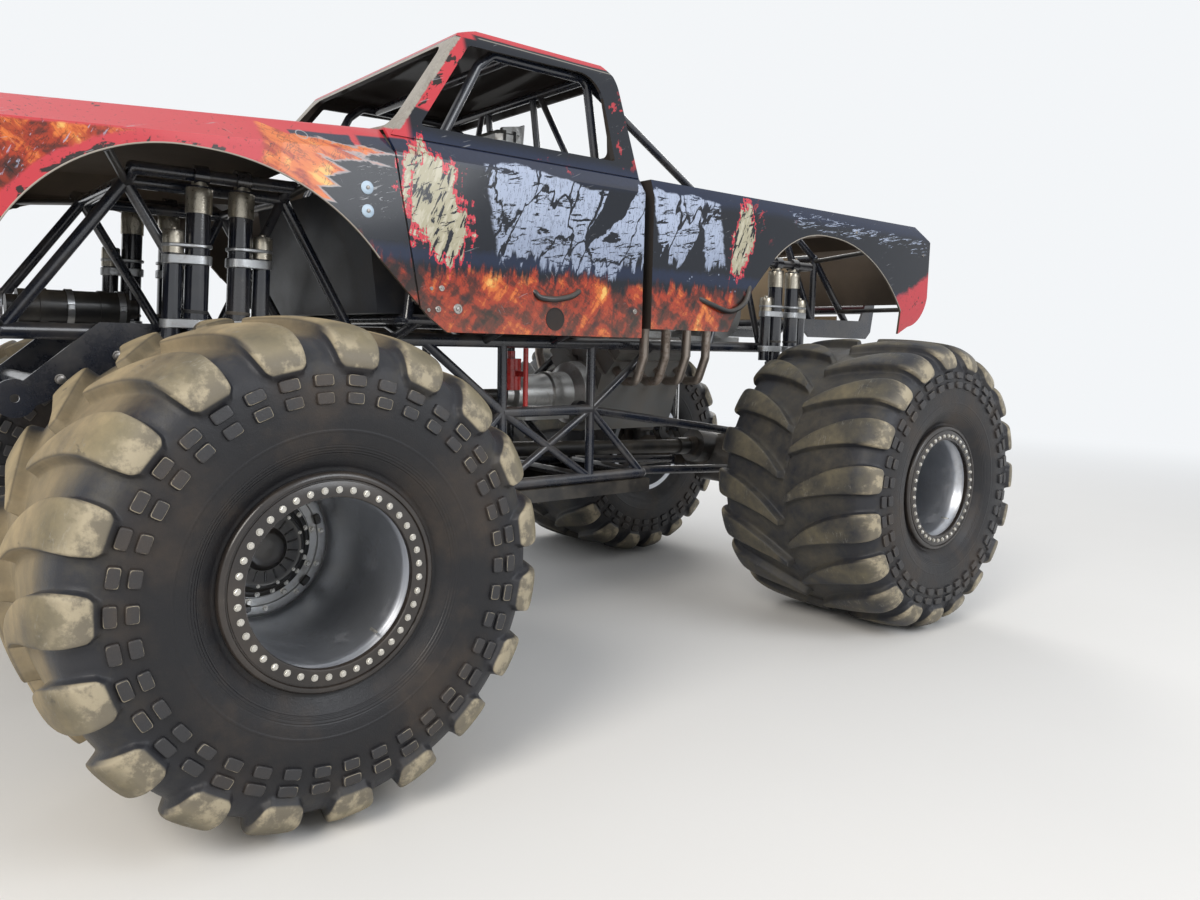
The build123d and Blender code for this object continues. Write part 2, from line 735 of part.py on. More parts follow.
def engine():
    # Vee engine: block with sump, two heads with covers, manifold, flywheel housing
    length = engine_rear_y - engine_front_y
    core = [(-105, 1085), (105, 1085), (150, 1200), (175, 1290), (233, 1429), (119, 1543), (60, 1500),
            (-60, 1500), (-119, 1543), (-233, 1429), (-175, 1290), (-150, 1200)]
    pieces = [front_plate(core, engine_front_y, length)]
    head = [(233, 1429), (311, 1507), (197, 1621), (119, 1543)]
    cover = [(300, 1516), (345, 1561), (250, 1656), (205, 1611)]
    for side in (-1, 1):
        pieces.append(front_plate([(side * x, z) for x, z in head], engine_front_y + 30, length - 60))
        pieces.append(front_plate([(side * x, z) for x, z in cover], engine_front_y + 45, length - 90))
    manifold = [(-125, 1536), (125, 1536), (110, 1640), (-110, 1640)]
    pieces.append(front_plate(manifold, engine_front_y + 50, length - 110))
    pieces.append(front_plate([(-60, 1490), (60, 1490), (60, 1545), (-60, 1545)], engine_front_y + 50,
                              length - 110))
    pieces.append(bar((0, engine_front_y - 20, crank_height), (0, engine_front_y + 10, crank_height), 195))
    pieces.append(bar((0, engine_rear_y - 5, crank_height), (0, engine_rear_y + 70, crank_height), 95))
    return join(pieces)


blower_low = 1640.0


def blower():
    # Lobed compressor case with end plates, belt housing and the air scoop on top
    y1 = engine_front_y + 60
    y2 = engine_rear_y - 70
    z = blower_low + seat_gap
    case = block((-135, y1, z), (135, y2, z + 60))
    lobes = [bar((x, y1, z + 150), (x, y2, z + 150), 118) for x in (-62.0, 62.0)]
    top = block((-110, y1 + 20, z + 200), (110, y2 - 20, z + 285))
    plates = []
    for y in (y1 - 12, y2):
        plates.append(block((-185, y, z), (185, y + 12, z + 280)))
    hat = side_plate([(y1 + 40, z + 284), (y1 + 20, z + 470), (y1 + 120, z + 500), (y2 - 90, z + 430),
                      (y2 - 60, z + 284)], -190, 380)
    mouth = block((-165, y1 - 40, z + 330), (165, y1 + 150, z + 450))
    snout = bar((0, y2, z + 150), (0, y2 + 110, z + 150), 62)
    pulley = bar((0, y2 + 110, z + 150), (0, y2 + 190, z + 150), 92)
    return join([case, *lobes, top, *plates, hat - mouth, snout, pulley])


header_pipe_radius = 27.0
header_out_x = 505.0


def headers():
    # Four pipes on each side: out below the rail, then up beside it
    pipes = []
    step = (engine_rear_y - engine_front_y - 160) / 3
    for i in range(4):
        y = engine_front_y + 80 + step * i
        path = [(250.0, y, 1476), (345, y, 1392), (452, y, 1398),
                (header_out_x + 5, y, 1540),
                (header_out_x + 20, y, 2240)]
        pipe = bent_bar(path, header_pipe_radius, 42)
        pipes.append(pipe)
    keep_off = engine_grown_heads()
    cleaned = [biggest(pipe - keep_off) for pipe in pipes]
    return [side for pipe in cleaned for side in both_sides(pipe)]


def engine_grown_heads():
    # Head and block outline with a small clearance, to end the pipes on
    g = seat_gap
    outline = [(175, 1290 - 60), (233 + g, 1429 - g), (311 + 1.4 * g, 1507), (197, 1621), (119, 1543)]
    return front_plate(outline, engine_front_y, engine_rear_y - engine_front_y)


gearbox_tail_y = -30.0
gearbox_rear_y = engine_front_y - 20 - seat_gap


def gearbox():
    profile = [(gearbox_tail_y, 0), (gearbox_tail_y, 62), (10, 66), (26, 96), (60, 104), (250, 118), (262, 130),
               (300, 130), (320, 124), (400, 128), (440, 185), (gearbox_rear_y, 193), (gearbox_rear_y, 0)]
    wire = Wire.make_polygon([Vector(0, y, crank_height + r) for y, r in profile], close=True)
    case = revolve(Face(wire), Axis((0, 0, crank_height), (0, 1, 0))).solid()
    pan = block((-105, 60, crank_height - 148), (105, 380, crank_height - 60))
    return join([case, pan])


case_front_y = -560.0
case_rear_y = -400.0


def transfer_case():
    # Drop gearbox: two round housings joined by a tapered body
    y1, y2 = case_front_y, case_rear_y
    pieces = [
        bar((0, y1, crank_height), (0, y2, crank_height), 120),
        bar((0, y1, output_height), (0, y2, output_height), 140),
        front_plate([(-119, crank_height), (-139, output_height), (139, output_height), (119, crank_height)],
                    y1, y2 - y1),
        bar((0, y1 - 30, output_height), (0, y2 + 30, output_height), 62),
        bar((0, y2 - 5, crank_height), (0, y2 + 30, crank_height), 58),
    ]
    for z in (crank_height, output_height):
        for x in (-1, 1):
            pieces.append(block((x * 140 - 34, y1 + 60, z - 20), (x * 140 + 34, y2 - 60, z + 20)))
    return join(pieces)


def shaft(start, end, radius, yoke):
    # Shaft between two flanges, with a thicker joint at each end; its ends are trimmed to the flanges
    first, last = Vector(*start), Vector(*end)
    way = (last - first).normalized()
    extra = way * 12
    pieces = [bar(start, end, radius)]
    pieces.append(Solid.make_cylinder(yoke, 102, Plane(first - extra, z_dir=way)))
    pieces.append(Solid.make_cylinder(yoke, 102, Plane(last + extra, z_dir=way * -1)))
    low = min(first.Y, last.Y) + seat_gap
    high = max(first.Y, last.Y) - seat_gap
    return join(pieces) & block((-200, low, 0), (200, high, 3000))


def drive_shafts():
    pinion_z = axle_height + pinion_rise
    front = shaft((0, case_front_y - 30, output_height), (0, front_axle_y + pinion_reach, pinion_z),
                  shaft_radius, 58)
    rear = shaft((0, case_rear_y + 30, output_height), (0, rear_axle_y - pinion_reach, pinion_z),
                 shaft_radius, 58)
    short = bar((0, case_rear_y + 30 + seat_gap, crank_height),
                (0, gearbox_tail_y - seat_gap, crank_height), 31)
    return [front, rear, short]


# The axle is drawn with its centre at the origin and the pinion towards +Y
lower_link_foot = (140.0, -40.0)
upper_link_foot = (118.0, 200.0)
shock_foot_y = 84.0


def axle_housing():
    end = kingpin_x - 45
    bowl = turned([(-end, 0), (-end, axle_tube_radius), (-axle_cone_x, axle_tube_radius),
                   (-axle_bowl_width, axle_bowl_radius), (axle_bowl_width, axle_bowl_radius),
                   (axle_cone_x, axle_tube_radius), (end, axle_tube_radius), (end, 0)])
    pieces = [bowl]
    pieces.append(bar((0, 60, pinion_rise * 0.6), (0, pinion_reach - 60, pinion_rise), 112))
    pieces.append(bar((0, pinion_reach - 80, pinion_rise), (0, pinion_reach, pinion_rise), 62))
    foot_z = shock_foot_height - axle_height
    for side in (-1, 1):
        barrel = bar((side * kingpin_x, 0, -kingpin_barrel_half), (side * kingpin_x, 0, kingpin_barrel_half),
                     kingpin_barrel_radius)
        pieces.append(barrel)
        pieces.append(bar((side * (kingpin_x - 110), 0, 0), (side * kingpin_x, 0, 0), 60))
        for y, z in (lower_link_foot, upper_link_foot):
            for x in (-1, 1):
                plate_x = side * link_x + x * (link_eye_width / 2 + 2) + (0 if x > 0 else -bracket_plate)
                outline = [(-50, 30 if z > 0 else -60), (y - 30, z + 26), (y + 26, z + 26),
                           (y + 26, z - 26), (60, 20 if z > 0 else -78)]
                pieces.append(side_plate(outline, plate_x, bracket_plate))
            pin_half = link_eye_width / 2 + 2 + bracket_plate + 4
            pieces.append(bar((side * link_x - pin_half, y, z), (side * link_x + pin_half, y, z),
                              link_pin_radius))
        for y in (-shock_foot_y, shock_foot_y):
            for x in (-1, 1):
                plate_x = side * shock_x + x * 24 + (0 if x > 0 else -bracket_plate)
                plate = side_plate([(y - 34, foot_z - 30), (y - 24, foot_z + 26), (y + 24, foot_z + 26),
                                    (y + 34, foot_z - 30), (60, 40), (-60, 40)], plate_x, bracket_plate)
                pieces.append(plate)
            pieces.append(bar((side * shock_x - 38, y, foot_z), (side * shock_x + 38, y, foot_z), 13))
    whole = join(pieces)
    for side in (-1, 1):
        whole = whole - bar((side * kingpin_x, 0, -200), (side * kingpin_x, 0, 200), kingpin_radius + seat_gap)
    return biggest(whole)


def knuckle():
    # Left knuckle with its kingpin axis through the origin: yoke, pins, spindle and two arms
    low = kingpin_barrel_half + running_gap
    high = low + knuckle_plate
    back_x = kingpin_barrel_radius + 14
    pieces = []
    for side in (-1, 1):
        z1, z2 = sorted((side * low, side * high))
        outline = [(-52, -60), (-30, -78), (back_x + 40, -78), (back_x + 40, 78), (-30, 78), (-52, 60)]
        wire = Wire.make_polygon([Vector(x, y, z1) for x, y in outline], close=True)
        pieces.append(Solid.extrude(Face(wire), Vector(0, 0, z2 - z1)))
        pieces.append(bar((0, 0, side * (kingpin_barrel_half - 70)), (0, 0, side * (high + 10)),
                          kingpin_radius))
        arm = [(-34, -steering_arm), (-46, -60), (46, -60), (34, -steering_arm)]
        arm_wire = Wire.make_polygon([Vector(x, y, z1) for x, y in arm], close=True)
        pieces.append(Solid.extrude(Face(arm_wire), Vector(0, 0, z2 - z1)))
        pieces.append(bar((0, -steering_arm, z1), (0, -steering_arm, z2), 34))
    pieces.append(block((back_x, -78, -high), (back_x + 40, 78, high)))
    spindle_end = disc_x - kingpin_x - 40
    pieces.append(bar((back_x + 20, 0, 0), (spindle_end, 0, 0), spindle_radius))
    pin_top = low + 5
    pieces.append(bar((0, -steering_arm, tie_rod_height - 24), (0, -steering_arm, pin_top), 13))
    return join(pieces)


eye_height = 48.0


def tie_rod():
    # Rod with an eye at each end, drawn from the left ball joint at the origin towards -X
    length = 2 * kingpin_x
    left = ring((0, 0, 0), (0, 0, 1), 32, 13 + seat_gap, eye_height)
    right = ring((-length, 0, 0), (0, 0, 1), 32, 13 + 2.0, eye_height)
    body = bar((-26, 0, 0), (-length + 26, 0, 0), 21)
    body = body - bar((0, 0, -40), (0, 0, 40), 14) - bar((-length, 0, -40), (-length, 0, 40), 16)
    return join([body, left, right])


ram_barrel_half = 210.0
ram_barrel_radius = 44.0
ram_rod_radius = 20.0


def ram_rod():
    # Through rod of the steering ram with an eye at each end, centred on the origin
    body = bar((-kingpin_x + 24, 0, 0), (kingpin_x - 24, 0, 0), ram_rod_radius)
    eyes = [ring((side * kingpin_x, 0, 0), (0, 0, 1), 32, 15, eye_height) for side in (-1, 1)]
    return join([body, *eyes])


def ram_barrel():
    # Cylinder on the axle, with two clamps that reach back to the axle tube
    y = -steering_arm
    z = -tie_rod_height
    barrel = bar((-ram_barrel_half, y, z), (ram_barrel_half, y, z), ram_barrel_radius)
    ends = [bar((side * (ram_barrel_half - 40), y, z), (side * ram_barrel_half, y, z), ram_barrel_radius + 6)
            for side in (-1, 1)]
    clamps = []
    for side in (-1, 1):
        x = side * (ram_barrel_half - 62)
        clamps.append(side_plate([(y - 10, z - 58), (y - 10, z + 30), (-70, 20), (-60, -95)],
                                 x - 12, 24))
    whole = join([barrel, *ends, *clamps])
    bore = bar((-ram_barrel_half - 5, y, z), (ram_barrel_half + 5, y, z), ram_rod_radius + seat_gap)
    thin = axle_tube_radius + seat_gap
    wide = axle_bowl_radius + seat_gap
    tube = turned([(-kingpin_x, 0), (-kingpin_x, thin), (-axle_cone_x, thin), (-axle_bowl_width, wide),
                   (axle_bowl_width, wide), (axle_cone_x, thin), (kingpin_x, thin), (kingpin_x, 0)])
    return biggest(whole - bore - tube)


def link(start, end, start_bore, end_bore):
    # Suspension bar with an eye at each end, its pins across the truck
    first, last = Vector(*start), Vector(*end)
    way = (last - first).normalized()
    body = bar(tuple(first + way * 20), tuple(last - way * 20), link_radius)
    pieces = [body]
    for centre in (first, last):
        pieces.append(disc(tuple(centre), (1, 0, 0), link_eye_radius, link_eye_width))
    whole = join(pieces)
    for centre, bore in ((first, start_bore), (last, end_bore)):
        whole = whole - disc(tuple(centre), (1, 0, 0), bore + seat_gap, 400)
    return whole


def link_bars():
    bars = []
    # End of the axle, frame point at the lower bar, frame point at the upper bar
    for axle_y, way, low_point, high_point in (
        (front_axle_y, 1, "belly_front", "front_mid"),
        (rear_axle_y, -1, "belly_rear", "rear_mid"),
    ):
        for foot, name in ((lower_link_foot, low_point), (upper_link_foot, high_point)):
            y, z = frame_points[name]
            start = (link_x, y, z)
            end = (link_x, axle_y + way * foot[0], axle_height + foot[1])
            bars.extend(both_sides(link(start, end, brace_diameter / 2, link_pin_radius)))
    return bars


def shock(foot, head):
    # Shock with its gas bottle beside it, from the foot pin to the bar at its head
    first, last = Vector(*foot), Vector(*head)
    length = (last - first).length
    way = (last - first).normalized()
    body_low = 0.42 * length
    pieces = [
        bar(tuple(first + way * 24), tuple(first + way * (body_low + 10)), shock_rod_radius),
        bar(tuple(first + way * body_low), tuple(last - way * 52), shock_radius),
        bar(tuple(first + way * (body_low - 6)), tuple(first + way * (body_low + 36)), shock_radius + 5),
        bar(tuple(last - way * 86), tuple(last - way * 46), shock_radius + 3),
        bar(tuple(last - way * 50), tuple(last - way * 20), 30),
    ]
    pieces.append(disc(foot, (1, 0, 0), 30, 44))
    pieces.append(disc(head, (0, 1, 0), 40, 56))
    whole = join(pieces)
    whole = whole - disc(foot, (1, 0, 0), 13 + seat_gap, 100)
    whole = whole - disc(head, (0, 1, 0), brace_diameter / 2 + seat_gap, 100)
    return whole


def bottle(foot, head, side):
    # Gas bottle beside a shock and the two clamps that hold it; side is the way it stands out along Y
    first, last = Vector(*foot), Vector(*head)
    way = (last - first).normalized()
    length = (last - first).length
    aside = Vector(0, side * (shock_radius + reservoir_radius + 10), 0)
    low = first + way * (0.46 * length) + aside
    top = last - way * 250 + aside
    pieces = [bar(tuple(low), tuple(top), reservoir_radius)]
    pieces.append(bar(tuple(top - way * 6), tuple(top + way * 26), reservoir_radius + 4))
    for part in (0.2, 0.8):
        centre = low + (top - low) * part
        pieces.append(disc(tuple(centre), tuple(way), reservoir_radius + 6, 34))
        middle = centre - aside
        pieces.append(disc(tuple(middle), tuple(way), shock_radius + 8, 34))
        pieces.append(block((middle.X - 14, min(middle.Y, centre.Y), middle.Z - 17),
                            (middle.X + 14, max(middle.Y, centre.Y), middle.Z + 17)))
    whole = join(pieces)
    return whole - bar(foot, head, shock_radius + seat_gap)


# Shock places: axle y, middle of the heads, height of the head bar
shock_rows = {
    "front": (front_axle_y, -1745.0, front_shock_bar_z),
    "rear": (rear_axle_y, 1812.0, rear_shock_bar_z),
}


def shocks(row):
    axle_y, head_y, head_z = shock_rows[row]
    parts = []
    for side in (-1, 1):
        foot = (shock_x, axle_y + side * shock_foot_y, shock_foot_height)
        head = (shock_x, head_y + side * shock_pair / 2, head_z)
        unit = join([shock(foot, head), bottle(foot, head, side)])
        parts.extend(both_sides(unit))
    return parts


front_plate_x = frame_x + rail_diameter / 2 + seat_gap
rear_plate_x = front_plate_x + bead_extra
tow_plate = 16.0
tow_hole = 16.0
front_tow = (-2480.0, 1360.0)
rear_tow = (2920.0, 1990.0)
front_tow_round = 72.0
rear_tow_round = 50.0
front_tow_tube = (-2385.0, 1408.0)
rear_tow_tube = (2880.0, 1905.0)
tow_tube_radius = 32.5


def tow_plates():
    front = side_plate([(-1900, rail_z + 38), (-2190, rail_z + 38), (-2450, 1426), (-2505, 1293),
                        (-2160, 1440), (-1900, rail_z - 38)], front_plate_x, tow_plate)
    front = front + bar((front_plate_x, *front_tow), (front_plate_x + tow_plate, *front_tow), front_tow_round)
    rear = side_plate([(2140, 1812), (2140, 1735), (2200, 1690), (2870, 1690), (2925, 1740), (2969, 1985),
                       (2871, 1995), (2790, 1818)], rear_plate_x, tow_plate)
    rear = rear + bar((rear_plate_x, *rear_tow), (rear_plate_x + tow_plate, *rear_tow), rear_tow_round)
    plates = []
    for plate, hole, tube, x in ((front, front_tow, front_tow_tube, front_plate_x),
                                 (rear, rear_tow, rear_tow_tube, rear_plate_x)):
        cut = plate - bar((0, *hole), (600, *hole), tow_hole)
        cut = cut.fuse(bar((0, *tube), (x + tow_plate, *tube), tow_tube_radius))
        whole = cut.solid().fuse(other_side(cut.solid()))
        plates.append(biggest(whole))
    return plates


def belly_skid():
    # Shallow pan below the belly rails
    half = frame_x + rail_diameter / 2 + 8
    y = frame_points["belly_rear"][0] + rail_diameter / 2 + 8
    top = frame_points["belly_rear"][1] - rail_diameter / 2 - bead_extra - seat_gap
    low = top - 72
    pan = block((-half, -y, low), (half, y, top))
    pan = pan - block((-half + 6, -y + 6, low + 6), (half - 6, y - 6, top + 1))
    ribs = [block((-half + 3, ry - 3, low + 3), (half - 3, ry + 3, top)) for ry in (-350.0, 0.0, 350.0)]
    ledges = [block((side * frame_x - 30, -y + 3, low + 3), (side * frame_x + 30, y - 3, top))
              for side in (-1, 1)]
    return join([pan, *ribs, *ledges])


def radiator():
    low = tail_z + brace_diameter / 2 + seat_gap
    core = block((-330, 2090, low + 34), (330, 2150, 2200))
    frame_low = block((-350, 2080, low), (350, 2160, low + 34))
    frame_high = block((-350, 2080, 2200), (350, 2160, 2225))
    tray = block((-340, 2020, low + 0.1), (340, 2660, low + 6))
    lip = block((-340, 2654, low + 0.1), (340, 2660, low + 44))
    return join([core, frame_low, frame_high, tray, lip])


def fuel_cell():
    y1, y2 = 1330.0, 1690.0
    z = rail_z + brace_diameter / 2 + seat_gap
    can = bar((-280, (y1 + y2) / 2, z + 200), (280, (y1 + y2) / 2, z + 200), 170)
    feet = [block((x - 20, y1 - 105, z), (x + 20, y2 + 70, z + 40)) for x in (-180.0, 180.0)]
    outline = [(y1 + 70, z + 20), (y1 + 30, z + 120), (y2 - 30, z + 120), (y2 - 70, z + 20)]
    saddles = [side_plate(outline, x - 15, 30) for x in (-180.0, 180.0)]
    neck = bar((120, (y1 + y2) / 2, z + 350), (120, (y1 + y2) / 2, z + 400), 45)
    return join([can, *feet, *saddles, neck])


bottle_x = 262.0
bottle_y = -150.0


def fire_bottle():
    can = bar((bottle_x, bottle_y, 1350), (bottle_x, bottle_y, 1520), 55)
    neck = bar((bottle_x, bottle_y, 1518), (bottle_x, bottle_y, 1560), 22)
    strap = disc((bottle_x, bottle_y, 1440), (0, 0, 1), 59, 30)
    foot = block((bottle_x - 20, bottle_y - 12, 1425), (frame_x, bottle_y + 12, 1455))
    post = bar((frame_x, bottle_y, mid_z + mid_diameter / 2 + seat_gap),
               (frame_x, bottle_y, rail_z - rail_diameter / 2 - seat_gap), 14)
    return join([can, neck, strap, foot, post])


tank_radius = 70.0
tank_z = rail_z + brace_diameter / 2 + tank_radius + 6


def front_tank():
    # Long bottle between the front rails, on two saddles that stand on the cross tubes
    can = bar((0, -2400, tank_z), (0, -1990, tank_z), tank_radius)
    ends = [bar((0, -2440, tank_z), (0, -2400, tank_z), 46),
            bar((0, -1990, tank_z), (0, -1955, tank_z), 40)]
    base = rail_z + brace_diameter / 2 + seat_gap
    rail = block((-30, -2530, base), (30, -1990, base + 10))
    bands = [disc((0, y, tank_z), (0, 1, 0), tank_radius + 5, 30) for y in (-2310.0, -2090.0)]
    return join([can, *ends, rail, *bands])


# Body mounts: short bars from a tube of the frame or cage at (x, y, z) out to the shell at (y, z)
mount_radius = 15.0
mount_pad_radius = 34.0
mount_pad = 8.0
shell_inner_x = body_half_width - shell_wall - seat_gap
mount_bars = [
    ((frame_x, 2280.0, 2210.0), (2110.0, 2228.0)),
    ((frame_x, 2590.0, 1880.0), (2580.0, 1885.0)),
    ((frame_x, 1424.0, 2150.0), (1380.0, 2290.0)),
    ((cage_x, cage_rear_y, dash_z), (40.0, 2300.0)),
    ((cage_x, dash_y, dash_z), (-940.0, 2310.0)),
    ((cage_x, cage_rear_y, cage_floor_z), (60.0, cage_floor_z)),
    ((cage_x, -600.0, cage_floor_z), (-600.0, cage_floor_z)),
    ((frame_x, front_tower_front_y, tower_z), (-2262.0, 2238.0)),
    ((frame_x, -2505.0, rail_z + 15.0), (-2760.0, 1850.0)),
    ((frame_x, front_tower_rear_y, tower_z), (-1420.0, 2270.0)),
]


def body_mounts(frames, cages):
    inside = block((0, -3200, 0), (shell_inner_x, 3200, 4000))
    mounts = []
    for start, (y, z) in mount_bars:
        rod = bar(start, (shell_inner_x, y, z), mount_radius)
        pad = disc((shell_inner_x - mount_pad / 2, y, z), (1, 0, 0), mount_pad_radius, mount_pad)
        rest = (rod.fuse(pad) & inside) - frames - cages
        mounts.append(max(rest.solids(), key=lambda s: s.center().X))
    return [side for mount in mounts for side in both_sides(mount)]


# Tread stations from the middle of the tyre outwards: distance, radius of the carcass,
# radius of the lug top, how far the lug lags, half angle of its top, half angle of its foot
pitch = 360.0 / lugs_per_side
tyre_radius = tyre_diameter / 2
tyre_half = tyre_width / 2
nose_lag = 10.9
tread_stations = [
    (46.0, tyre_radius - lug_height, tyre_radius, nose_lag, 2.3, 3.4),
    (tyre_half - 109.0, tyre_radius - 66.0, tyre_radius - 12.0, 0.6, 5.0, 6.0),
    (tyre_half - 7.0, tyre_radius - 174.0, tyre_radius - 148.0, 0.0, 4.3, pitch / 4),
]
# Sidewall from the lugs to the bead, and the inside from the bead to the middle: distance, radius
# at the corners, which lie outside the round seat so that the flats between them clear it
inner_corner = math.cos(math.radians(pitch / 2))
side_stations = [(tyre_half, 540.0), (bead_spread, rim_ring_radius + 8)]
inner_stations = [(bead_spread - tyre_wall, bead_radius / inner_corner),
                  (tyre_half - 115.0, tyre_radius - lug_height - 70.0)]


def tyre(tread_turn):
    # Faceted tyre about the X axis; the lugs of one half stand half a pitch behind the other's
    faces = []

    def spot(x, radius, angle):
        # Point on a circle about the X axis; 0 degrees is at the top
        turn = math.radians(angle + tread_turn)
        return Vector(x, radius * math.sin(turn), radius * math.cos(turn))

    def flat(*corners):
        faces.append(Face(Wire.make_polygon(list(corners), close=True)))

    def folded(a, b, c, d):
        flat(a, b, c)
        flat(a, c, d)

    def strip(near, far, patch):
        for i in range(len(near)):
            j = (i + 1) % len(near)
            patch(near[i], near[j], far[j], far[i])

    crown = [spot(0, tread_stations[0][1], (i - 0.5) * pitch / 2 - nose_lag) for i in range(2 * lugs_per_side)]
    for side in (-1, 1):
        shift = 0.0 if side > 0 else pitch / 2
        rows = []
        feet = []
        for x, carcass, top, lag, half_top, half_foot in tread_stations:
            row = []
            for i in range(lugs_per_side):
                angle = i * pitch + shift - lag
                row += [spot(side * x, carcass, angle - half_foot), spot(side * x, top, angle - half_top),
                        spot(side * x, top, angle + half_top), spot(side * x, carcass, angle + half_foot)]
            rows.append(row)
            feet.append([corner for i, corner in enumerate(row) if i % 4 in (0, 3)])
        for near, far in zip(rows, rows[1:]):
            strip(near, far, folded)
        for row in (rows[0], rows[-1]):
            for i in range(0, len(row), 4):
                flat(*row[i:i + 4])
        nearest = min(range(len(crown)), key=lambda k: (crown[k] - feet[0][0]).length)
        strip(feet[0], crown[nearest:] + crown[:nearest], folded)
        wall_angles = [i * pitch + shift + turn for i in range(lugs_per_side)
                       for turn in (-pitch / 4, pitch / 4)]
        walls = [feet[-1]] + [[spot(side * x, radius, a) for a in wall_angles] for x, radius in side_stations]
        for near, far in zip(walls, walls[1:]):
            strip(near, far, flat)
        # Every second corner is left out on the inside
        bead = walls[-1]
        lean = [spot(side * inner_stations[0][0], inner_stations[0][1], a) for a in wall_angles[::2]]
        for i in range(0, len(bead), 2):
            here, there = lean[i // 2], lean[(i // 2 + 1) % len(lean)]
            flat(bead[i], bead[i + 1], here)
            flat(bead[i + 1], bead[(i + 2) % len(bead)], there)
            flat(bead[i + 1], there, here)
        insides = [lean] + [[spot(side * x, radius, a) for a in wall_angles[::2]]
                            for x, radius in inner_stations[1:]]
        for near, far in zip(insides, insides[1:]):
            strip(near, far, flat)
        if side < 0:
            last_inside = insides[-1]
    nearest = min(range(len(last_inside)), key=lambda k: abs(last_inside[k].Y - insides[-1][0].Y)
                  + abs(last_inside[k].Z - insides[-1][0].Z))
    strip(insides[-1], last_inside[nearest:] + last_inside[:nearest], folded)
    return Solid(Shell(faces))


def rim():
    # Wheel without its tyre about the X axis: inner barrel, drop, deep outer barrel, lock ring, disc and hub
    r = bead_radius - seat_gap
    half = bead_spread
    disc_at = disc_x - tyre_centre_x
    face = half + seat_gap + rim_ring_thickness
    outer = [(-half - 18, r - rim_wall), (-half - 18, r + 26), (-half - seat_gap, r + 26), (-half - seat_gap, r),
             (-half + 60, r), (-half + 110, rim_drop_radius + rim_wall + 14),
             (half - 120, rim_drop_radius + rim_wall), (half - 50, r), (half + seat_gap, r),
             (half + seat_gap, rim_ring_radius), (face, rim_ring_radius - 6), (face, r - rim_wall - 14),
             (half - 40, r - rim_wall - 6), (half - 120, rim_drop_radius), (-half + 110, rim_drop_radius + 14),
             (-half + 60, r - rim_wall)]
    barrel = turned(outer)
    disc_back = disc_at - disc_thickness / 2
    disc_front = disc_at + disc_thickness / 2
    plate = turned([(disc_back, hub_radius - 20), (disc_back, rim_drop_radius + 12),
                    (disc_front, rim_drop_radius + 12), (disc_front, hub_radius - 20)])
    back = disc_at - 78
    front = disc_at + hub_cap_reach
    spindle_bore = spindle_radius + seat_gap
    hub = turned([(back, spindle_bore), (back, 150), (disc_at - 40, hub_radius), (disc_at + 40, hub_radius),
                  (disc_at + 52, hub_radius - 14), (front - 34, 128), (front - 30, 78), (front, 66),
                  (front, 0), (disc_at - 30, 0), (disc_at - 30, spindle_bore)])
    return join([barrel, plate, hub])


def place(shape, x, y, z):
    return shape.moved(Location((x, y, z)))


os.makedirs("parts", exist_ok=True)

left_frame = frame_side()
right_frame = other_side(left_frame)
grown_left = frame_side(seat_gap)
grown_frames = grown_left.fuse(other_side(grown_left))
cage_grown = cage_side(seat_gap)
grown_cages = cage_grown.fuse(other_side(cage_grown))
tower_tube = bar((0, *frame_points["rear_tower_front"]), (frame_x, *frame_points["rear_tower_front"]),
                 brace_diameter / 2 + seat_gap)
left_cage = biggest(cage_side() - grown_left - tower_tube)
save("frame_left", left_frame)
save("frame_right", right_frame)
save("frame_cross_tubes", frame_cross_tubes(grown_frames))
save("cage_left", left_cage)
save("cage_right", other_side(left_cage))
save("cage_cross_tubes", cage_cross(grown_cages))
save("body_front_clip", front_clip())
save("body_cab", cab())
save("body_bed", bed())
save("body_mounts", body_mounts(grown_frames, grown_cages))
save("grille", grille())
save("headlamps", headlamps())
save("floor_panels", floor_panels())
save("seat", seat())
save("steering_wheel", steering_wheel())
save("engine", engine())
save("blower", blower())
save("headers", headers())
save("gearbox", gearbox())
save("transfer_case", transfer_case())
save("drive_shafts", drive_shafts())
save("link_bars", link_bars())
save("shocks_front", shocks("front"))
save("shocks_rear", shocks("rear"))
save("tow_plates", tow_plates())
save("belly_skid", belly_skid())
save("radiator", radiator())
save("fuel_cell", fuel_cell())
save("fire_bottle", fire_bottle())
save("front_tank", front_tank())

# Both axles, with their knuckles, rams, rods and wheels; the rear one is the front one turned about
housing = axle_housing()
left_knuckle = knuckle()
wheel = rim()
for row, axle_y, way, tread_turn in (("front", front_axle_y, 1, front_tread_turn),
                                     ("rear", rear_axle_y, -1, rear_tread_turn)):
    def turned_about(shape, flip=way):
        return shape if flip > 0 else shape.mirror(Plane.XZ)

    save("axle_housing_" + row, place(turned_about(housing), 0, axle_y, axle_height))
    save("steering_ram_" + row, place(turned_about(ram_barrel()), 0, axle_y, axle_height))
    save("ram_rod_" + row, place(turned_about(ram_rod()), 0, axle_y - way * steering_arm,
                                 axle_height - tie_rod_height))
    save("tie_rod_" + row, place(turned_about(tie_rod()), kingpin_x, axle_y - way * steering_arm,
                                 axle_height + tie_rod_height))
    tyre_left = tyre(tread_turn)
    for hand, side in (("left", 1), ("right", -1)):
        one = left_knuckle if side > 0 else other_side(left_knuckle)
        save("knuckle_" + row + "_" + hand, place(turned_about(one), side * kingpin_x, axle_y, axle_height))
        one = wheel if side > 0 else other_side(wheel)
        save("rim_" + row + "_" + hand, place(one, side * tyre_centre_x, axle_y, axle_height))
        one = tyre_left if side > 0 else other_side(tyre_left)
        save("tyre_" + row + "_" + hand, place(one, side * tyre_centre_x, axle_y, axle_height))
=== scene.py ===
import math
from functools import reduce

import bpy
import numpy as np
from mathutils import Matrix, Vector
from mathutils.bvhtree import BVHTree


